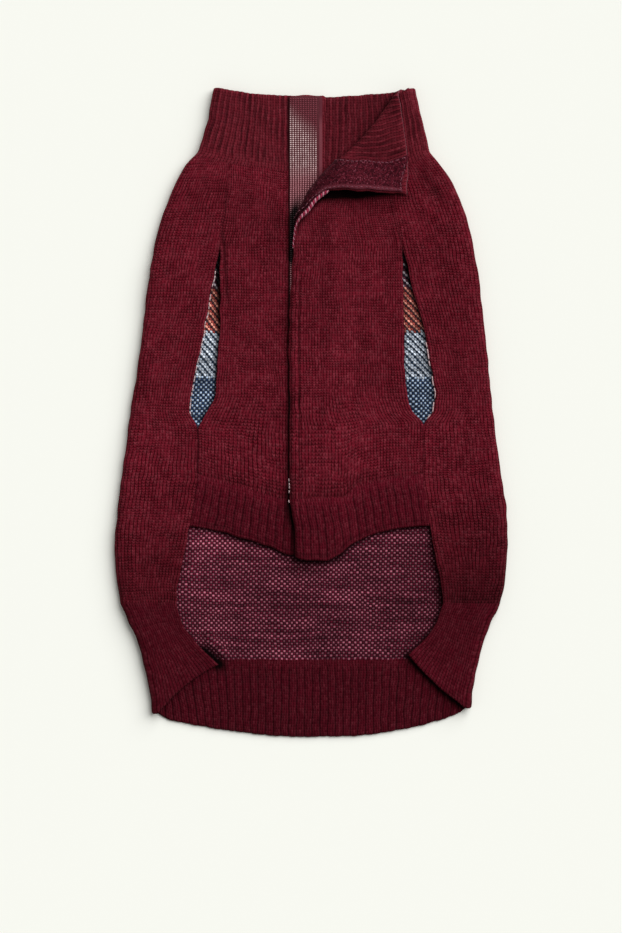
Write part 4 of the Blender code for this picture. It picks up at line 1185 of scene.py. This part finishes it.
def collar(rib):
    """The ribbed collar, open at the centre front, its right corner turned back."""
    ribs = 19, 2, 34, 2, 21  # on the left front, a fold, the back, a fold and the right front
    left_steps, _, back_steps, _, right_steps = (count * FINE_STEPS for count in ribs)
    back_steps, right_steps = back_steps + 1, right_steps + 1
    tape_steps = round((TAPE_INSET + TAPE_WIDTH) / FINE_PITCH * FINE_STEPS)
    right_t = np.concatenate((spread(1.0, 0.0, right_steps - tape_steps),
                              np.linspace(0.0, -(TAPE_INSET + TAPE_WIDTH) / TAPE_RUN, tape_steps)))
    shares = np.concatenate(([0.0, 0.01, 0.025], np.linspace(0.045, 1.0, 52)))
    middle = settled(collar_rows(shares, left_steps, back_steps, right_t))
    ends = np.cumsum(ribs)
    phase = np.concatenate((
        spread(0, ends[0], left_steps),
        spread(ends[0], ends[1], FOLD_STEPS),
        np.linspace(ends[1], ends[2], back_steps),
        np.linspace(ends[2], ends[3], FOLD_STEPS + 1)[1:],
        np.linspace(ends[3], ends[4], right_steps),
    ))
    normal_up = normals_of(middle)[:, :, 2]
    from_top, from_seam, from_left_end, _ = from_edges(middle)
    uneven = 0.85 + 0.25 * RIB_UNEVEN(middle[..., 0], middle[..., 1])
    begun = uneven * risen(from_seam)
    begun[:, -tape_steps:] *= 0.2
    begun[from_left_end < UNDERLAP_X - HOOK_END_X] *= 0.15
    ridge = fine_ridge(phase)[None] * begun
    outer, inner = (FINE_RISE * ridge * np.clip(1.0 + up, 0.0, 1.0) for up in (normal_up, -normal_up))
    middle = scalloped(middle, np.clip(ridge, 0, 1), from_top, 0)
    shade = np.where(normal_up < 0, 0.87, 1.0) * (1 + 0.25 * ease(1 - from_top / 4.0))
    uv = grid(phase * 2 + 0.5, from_top.mean(axis=1) / COURSE)
    piece = cloth("collar_band", middle, uv, (rib, rib), (1, 0, 1, 1), outer, inner, begun - ridge,
                  shade=shade)
    finished(piece, "collar")
    return middle[0, -right_steps:]


def belly_left(outside, inside):
    """The left belly front, under the right one at the centre."""
    row_y = np.linspace(NECK_Y, BELLY_RIB_Y, 118)
    rows = []
    for y in row_y:
        from_seam = crowded(read(SECTIONS, y, BELLY_L), PLACKET_LEFT_X, 46)
        x = np.concatenate((spread(UNDERLAP_X, PLACKET_LEFT_X, 46), [PLACKET_LEFT_X], from_seam[::-1]))
        rows.append(layer(x, front_y(x, y), FRONT_Z))
    middle = settled(np.array(rows))
    from_neck, from_band, _, from_seam = from_edges(middle)
    shade = seam_shade(from_seam, seam_strength(row_y, 0)[:, None])
    shade = shade * near_join(from_neck, 0.12, NECK_JOIN) * near_join(from_band, -0.2)
    piece = cloth("left_front", middle, stitch_uv(middle, row_y), (outside, inside),
                  (0, 0, 1, side_free(row_y, WRAP_L, BELLY_L)), shade=shade)
    finished(piece, "belly_left")


def belly_right(outside, inside):
    """The right belly front, whose upper corner is turned back with the collar."""
    row_y = np.concatenate((spread(NECK_Y, 92.0, 90), np.linspace(92.0, BELLY_RIB_Y, 76)))
    share = np.linspace(0.0, 1.0, 110)
    share = share - 0.6 * np.sin(2 * np.pi * share) / (2 * np.pi)
    rows = []
    for y in row_y:
        seam_x, edge_x = read(SECTIONS, y, BELLY_R), read(PLACKET_EDGE, front_y(0.0, y))
        x = seam_x + (edge_x - seam_x) * share
        rows.append(turned_back(x, front_y(x, y)))
    middle = settled(np.array(rows))
    drawn_in = 1.2  # its stitches lie closer to each other than elsewhere
    stitches_across = (SECTIONS[0][BELLY_R] - PLACKET_EDGE[-1][1]) * drawn_in / WALE
    _, from_band, from_seam, _ = from_edges(middle)
    shade = seam_shade(from_seam, seam_strength(row_y, 1)[:, None]) * near_join(from_band, -0.2)
    piece = cloth("right_front", middle, grid(share * stitches_across, -row_y / COURSE),
                  (outside, inside), (0, 0, side_free(row_y, WRAP_R, BELLY_R), 1), shade=shade)
    finished(piece, "belly_right")


def belly_band(word, rib, ends, hem, height, free):
    """The ribbed band under the left or right belly front, as `word` says. `ends` gives x of both
    ends of a row and `free` says which of the two isn't sewn."""
    top = ends(0.0)
    ribs_across = round(abs(top[0] - top[1]) / BROAD_PITCH)
    steps = ribs_across * BROAD_STEPS + 1
    top_y = read(BELLY_RIB_TOP, np.linspace(*top, steps))
    rows = []
    for share in np.concatenate(([0.0, 0.02], np.linspace(0.05, 0.95, 24), [0.975, 1.0])):
        x = np.linspace(*ends(share), steps)
        y = top_y + (read(hem, x) - top_y) * share
        rows.append(layer(x, y, height(x, y)))
    middle = settled(np.array(rows))
    from_top, from_bottom = from_edges(middle)[:2]
    phase = np.linspace(0, ribs_across, steps)
    begun = risen(from_top) * (0.3 + 0.7 * ease(from_bottom / WELT))
    ridge = broad_ridge(phase)[None] * begun
    middle = scalloped(middle, ridge, from_bottom, -1)
    # Painted shade in the groove above the smooth welt, with the tone lighter near the top seam
    shade = near_join(from_top, 0.16) * (1 - 0.3 * np.exp(-(((from_bottom - WELT) / 0.8) ** 2)))
    uv = grid(phase * 3, from_top.mean(axis=1) / COURSE)
    piece = cloth(word + "_belly_band", middle, uv, (rib, rib), (0, 1, *free), BROAD_RISE * ridge, 0.0,
                  begun - ridge, shade=shade)
    finished(piece, "belly_rib_" + word)


def band_seam_x(share, belly):
    """x of a belly band's side seam at a share of the way down it."""
    return read(SECTIONS, BELLY_RIB_Y + (BELLY_HEM_Y - BELLY_RIB_Y) * share, belly)


def left_band_ends(share):
    """x of both ends of a row of the left belly band, at a share of the way down it."""
    return UNDERLAP_X, band_seam_x(share, BELLY_L)


def right_band_ends(share):
    """The same of the right belly band, whose free edge goes on from the right front's."""
    top_y, bottom_y = BELLY_RIB_TOP[2][1], BELLY_HEM_RIGHT[0][1]
    return band_seam_x(share, BELLY_R), read(PLACKET_EDGE, top_y + (bottom_y - top_y) * share)


def hook_tape(ground, nylon):
    """The hook tape on the left front: a woven ground and rows of small moulded hooks."""
    columns, rows = 14, 150
    x = np.linspace(HOOK_START_X + HOOK_BORDER, HOOK_END_X, columns)
    y = np.linspace(TAPE_TOP_Y, TAPE_END_Y, rows)
    middle = settled(layer(*np.meshgrid(x, y), FRONT_Z), TAPE_WANDER)
    strip = cloth("hook_tape_ground", middle, grid(np.arange(columns), np.arange(rows)),
                  (ground, ground), (1, 1, 1, 1), thickness=HOOK_GROUND,
                  shift=CLOTH / 2 + GAP + HOOK_GROUND / 2)
    finished(strip, "hook_tape")
    x = np.arange(HOOK_END_X + HOOK_MARGIN_X[0], HOOK_START_X - HOOK_MARGIN_X[1], HOOK_PITCH[0])
    y = np.arange(TAPE_END_Y + HOOK_MARGIN_Y[0], TAPE_TOP_Y - HOOK_MARGIN_Y[1], HOOK_PITCH[1])
    foot = settled(layer(*grid(x, y).reshape(-1, 2).T, FRONT_Z), TAPE_WANDER)
    foot = foot + (0.0, 0.0, CLOTH / 2 + GAP + HOOK_FOOT)
    # One hook as rings from its foot to its bent tip: lean, height, radius
    profile = ((-0.20, 0.0, 0.44), (-0.08, 0.34, 0.42), (0.10, 0.54, 0.38), (0.24, 0.50, 0.22))
    sides = 6
    one = np.array([(lean + wide * np.cos(a), wide * np.sin(a), rise)
                    for lean, rise, wide in profile for a in spread(0.0, 2 * np.pi, sides)])
    index = np.arange(len(one)).reshape(len(profile), sides)
    beside = np.roll(index, -1, 1)
    walls = np.stack((index[:-1], beside[:-1], beside[1:], index[1:]), axis=-1).reshape(-1, 4)
    start = (np.arange(len(foot)) * len(one))[:, None]
    faces = (walls[None] + start[:, :, None]).reshape(-1, 4).tolist() + (index[-1] + start).tolist()
    hooks = (foot[:, None] + one).reshape(-1, 3), faces
    loose_mesh("hook_rows", [hooks], (nylon,), shaded=True)


def tape_line(y, inset, lift):
    """Points above the loop tape's face, along y and `inset` from the free edge."""
    y, inset = np.broadcast_arrays(y, inset)
    x = read(PLACKET_EDGE, y) + inset
    across = turned_back(x - 0.5, y) - turned_back(x + 0.5, y)
    down = turned_back(x, y - 0.5) - turned_back(x, y + 0.5)
    right_side = unit(np.cross(across, down))
    return settled(turned_back(x, y)) - right_side * (CLOTH / 2 + GAP + TAPE + lift)[:, None]


def stitches(y, inset):
    """A row of stitches along a line on the loop tape, each of six points with one between."""
    length = 6
    dip = np.sin(np.linspace(0.0, np.pi, length)) * 0.5 - 0.3
    points = tape_line(y, inset, np.resize((*dip, -0.3), len(y)))
    return [tube(points[start:start + length], THREAD)
            for start in range(0, len(points) - length, length + 1)]


def tape_inset(y):
    """How far the loop tape lies from the free edge: nearly on it where it is turned back."""
    return TAPE_INSET - TAPE_SHIFT * ease((y - TAPE_SHIFT_Y) / TAPE_SHIFT_REACH)


def loop_tape(pile, thread):
    """The loop tape on the inner face of the right front and its collar, and its sewing."""
    top_y = read(COLLAR_TOP_RIGHT, 8.0) - TAPE_TOP_GAP
    y = np.concatenate((np.linspace(top_y, 80.0, 150), np.linspace(79.0, TAPE_END_Y, 50)))[:, None]
    share = np.linspace(0.0, 1.0, 24)
    far = TAPE_INSET + TAPE_WIDTH - 1.6  # from the free edge to the tape's inner edge
    x = read(PLACKET_EDGE, y) + (far + (tape_inset(y) - far) * share)
    # Painted shade: the tape darker where it turns into the roll, and towards its free edge low on the
    # turned-back corner
    past = past_roll(layer(x, y, 0.0)[..., :2].reshape(-1, 2))[0].reshape(x.shape)
    on_roll = 1 - ease((past - 6.0) / 9.0)
    shade = (1 - 0.35 * on_roll) * (1 - 0.7 * ease((143.0 - y) / 22.0) * share)
    strip = cloth("loop_tape_strip", settled(turned_back(x, y)), grid(share, y), (pile, pile),
                  (1, 1, 1, 1), thickness=TAPE, shift=-(CLOTH + TAPE) / 2 - GAP, shade=shade)
    finished(strip, "loop_tape")
    along = np.arange(top_y - 1.2, 96.0, -SEWING_STEP)
    across = np.arange(2.4, TAPE_INSET + TAPE_WIDTH - 2.8, SEWING_STEP)
    parts = stitches(along, tape_inset(along) + 1.2)
    parts += stitches(along, TAPE_INSET + TAPE_WIDTH - 2.5)
    parts += stitches(np.full(len(across), top_y - 1.0), across)
    loose_mesh("loop_tape_sewing", parts, (thread,))


def twisted_edge(path, pale, dark, thick):
    """Two yarns twisted round each other along a path, as a knitted selvage shows; `thick` is 1
    where they are thickest."""
    length = travelled(path)
    at = np.arange(0.0, length[-1], 0.3)
    path, thick = picked(path, at, length), np.interp(at, length, thick)
    parts, kinds = [], []
    for strand in range(2):
        angle = 2 * np.pi * at / SELVAGE_TWIST + strand * np.pi
        parts.append(tube(path + SELVAGE_SIDE * thick[:, None] * around(path, angle),
                          SELVAGE_RADIUS * thick))
        kinds += [strand] * len(parts[-1][1])
    loose_mesh("front_selvage", parts, (pale, dark), kinds)


def floats(name, path, every, material, keep, radius=0.42, length=1.5):
    """Short loops of pale yarn that peep out along a path, one at each `every` millimetres; `keep`
    is the share of them that show."""
    reached = travelled(path)
    rng = np.random.default_rng(21)
    parts = []
    for at in np.arange(every, reached[-1] - every, every):
        if rng.uniform() > keep:
            continue
        near = np.linspace(-length / 2, length / 2, 5) + at + rng.uniform(-0.25, 0.25) * every
        line = picked(path, near, reached)
        line[:, 2] += (-0.3, 0.0, 0.12, 0.0, -0.3)
        parts.append(tube(line, radius * rng.uniform(0.7, 1.1)))
    loose_mesh(name, parts, (material,))


def selvages(pale, pink, dark, top_row, finish):
    """Edges that show their yarn: the right front's, its collar's and those of the leg holes."""
    y = np.linspace(SELVAGE_TOP_Y, SELVAGE_END_Y, 240)
    x = read(PLACKET_EDGE, y)
    edge = turned_back(x, y)
    outward = unit(edge - turned_back(x + 1.0, y))
    face = unit(tape_line(y, 0.0, np.zeros(len(y))) - settled(edge))
    thick = (0.4 + 0.6 * ease((y - 116.0) / 14.0)) * (0.5 + 0.5 * ease((SELVAGE_TOP_Y - y) / 3.0))
    line = settled(edge) + (face * 0.5 + outward * 0.2) * thick[:, None]
    twisted_edge(line, pink, dark, thick)
    low = np.linspace(-40.0, -58.0, 60)
    low_edge = settled(layer(read(PLACKET_EDGE, low) - 0.5, low, PLACKET_Z - 1.5))
    floats("placket_floats", low_edge, 2.6, pale, 0.8)
    for name, column, side, out, top, every, length in (
            ("left_slit_floats", WRAP_L, SIDE_L, 0.45, 90.0, 2.9, 1.9),
            ("right_slit_floats", WRAP_R, SIDE_R, -0.45, 46.0, 4.2, 3.2)):
        y = np.linspace(top, -6.0, 200)
        x = read(SECTIONS, y, column) + out
        z = side_lift(x, read(SECTIONS, y, side), FRONT_Z) + 0.4
        floats(name, settled(layer(x, y, z)), every, pale, 0.9, 0.4, length)
    loose_mesh("collar_finish", [tube(top_row[::2], 0.42, 6)], (finish,))


# ---- the stage --------------------------------------------------------------------------------------
FLOOR_Z, FLOOR_HALF = -0.05, 3000.0
VIEW_HEIGHT, VIEW_Y = 0.583125, -0.0341  # what the camera sees, and its middle, in metres
CAMERA_Z, CAMERA_ABOVE = 2.6, 0.006  # the camera over the cloth's upper side, and that over the floor


def stage():
    """A pale floor, soft light from the upper right, and a camera that looks straight down."""
    corners = [(x * FLOOR_HALF, y * FLOOR_HALF, FLOOR_Z) for x, y in ((-1, -1), (1, -1), (1, 1), (-1, 1))]
    mesh_object("floor", corners, [(0, 1, 2, 3)], [floor_paper()])
    scene = bpy.context.scene
    scene.world = bpy.data.worlds.new("studio")
    scene.world.use_nodes = True
    sky = scene.world.node_tree.nodes["Background"].inputs
    sky["Color"].default_value = (1.0, 1.0, 0.985, 1.0)
    sky["Strength"].default_value = 0.28
    sun = bpy.data.lights.new("key", "SUN")
    sun.energy, sun.angle = 3.50, np.radians(60)
    in_scene("key", sun, rotation_euler=(np.radians(-33), np.radians(35), 0.0))
    lens = bpy.data.cameras.new("camera")
    lens.sensor_fit, lens.sensor_height, lens.clip_end = "VERTICAL", 24.0, 20.0
    lens.lens = lens.sensor_height * CAMERA_Z / VIEW_HEIGHT
    scene.camera = in_scene("camera", lens, location=(0.0, VIEW_Y, CAMERA_Z + CAMERA_ABOVE))
    scene.view_settings.view_transform = "Standard"


# The edges that paint shadow on the layers below them
CASTING = casting_edges()  # worked out once, and read by `painted_shadow` for every piece


def main():
    """Makes the materials, then all the pieces, then the stage."""
    knit = plain_knit()
    body_rib = rib_knit("burgundy_rib", rgb(0.025, 0.0004, 0.0016), rgb(0.084, 0.0036, 0.0104), 0.42)
    neck_rib = rib_knit("neck_rib", rgb(0.030, 0.0010, 0.0026), rgb(0.118, 0.0098, 0.0172), 0.56)
    inside, front_inside = inside_knit(), flap_inside()
    back_panel(knit, inside)
    hem_rib(body_rib)
    top_row = collar(neck_rib)
    belly_left(knit, front_inside)
    belly_right(knit, front_inside)
    belly_band("left", body_rib, left_band_ends, BELLY_HEM_LEFT, lambda x, y: FRONT_Z,
               (1, 0))
    belly_band("right", body_rib, right_band_ends, BELLY_HEM_RIGHT, lying_z, (0, 1))
    hook_tape(hook_ground(), hook_nylon())
    loop_tape(loop_pile(), yarn("plum_thread", rgb(0.26, 0.085, 0.12)))
    selvages(yarn("pale_float", rgb(0.60, 0.42, 0.43)), yarn("pink_yarn", rgb(0.56, 0.22, 0.28)),
             yarn("crimson_yarn", rgb(0.30, 0.014, 0.05)), top_row,
             yarn("collar_finish_yarn", rgb(0.155, 0.028, 0.042)))
    stage()


main()
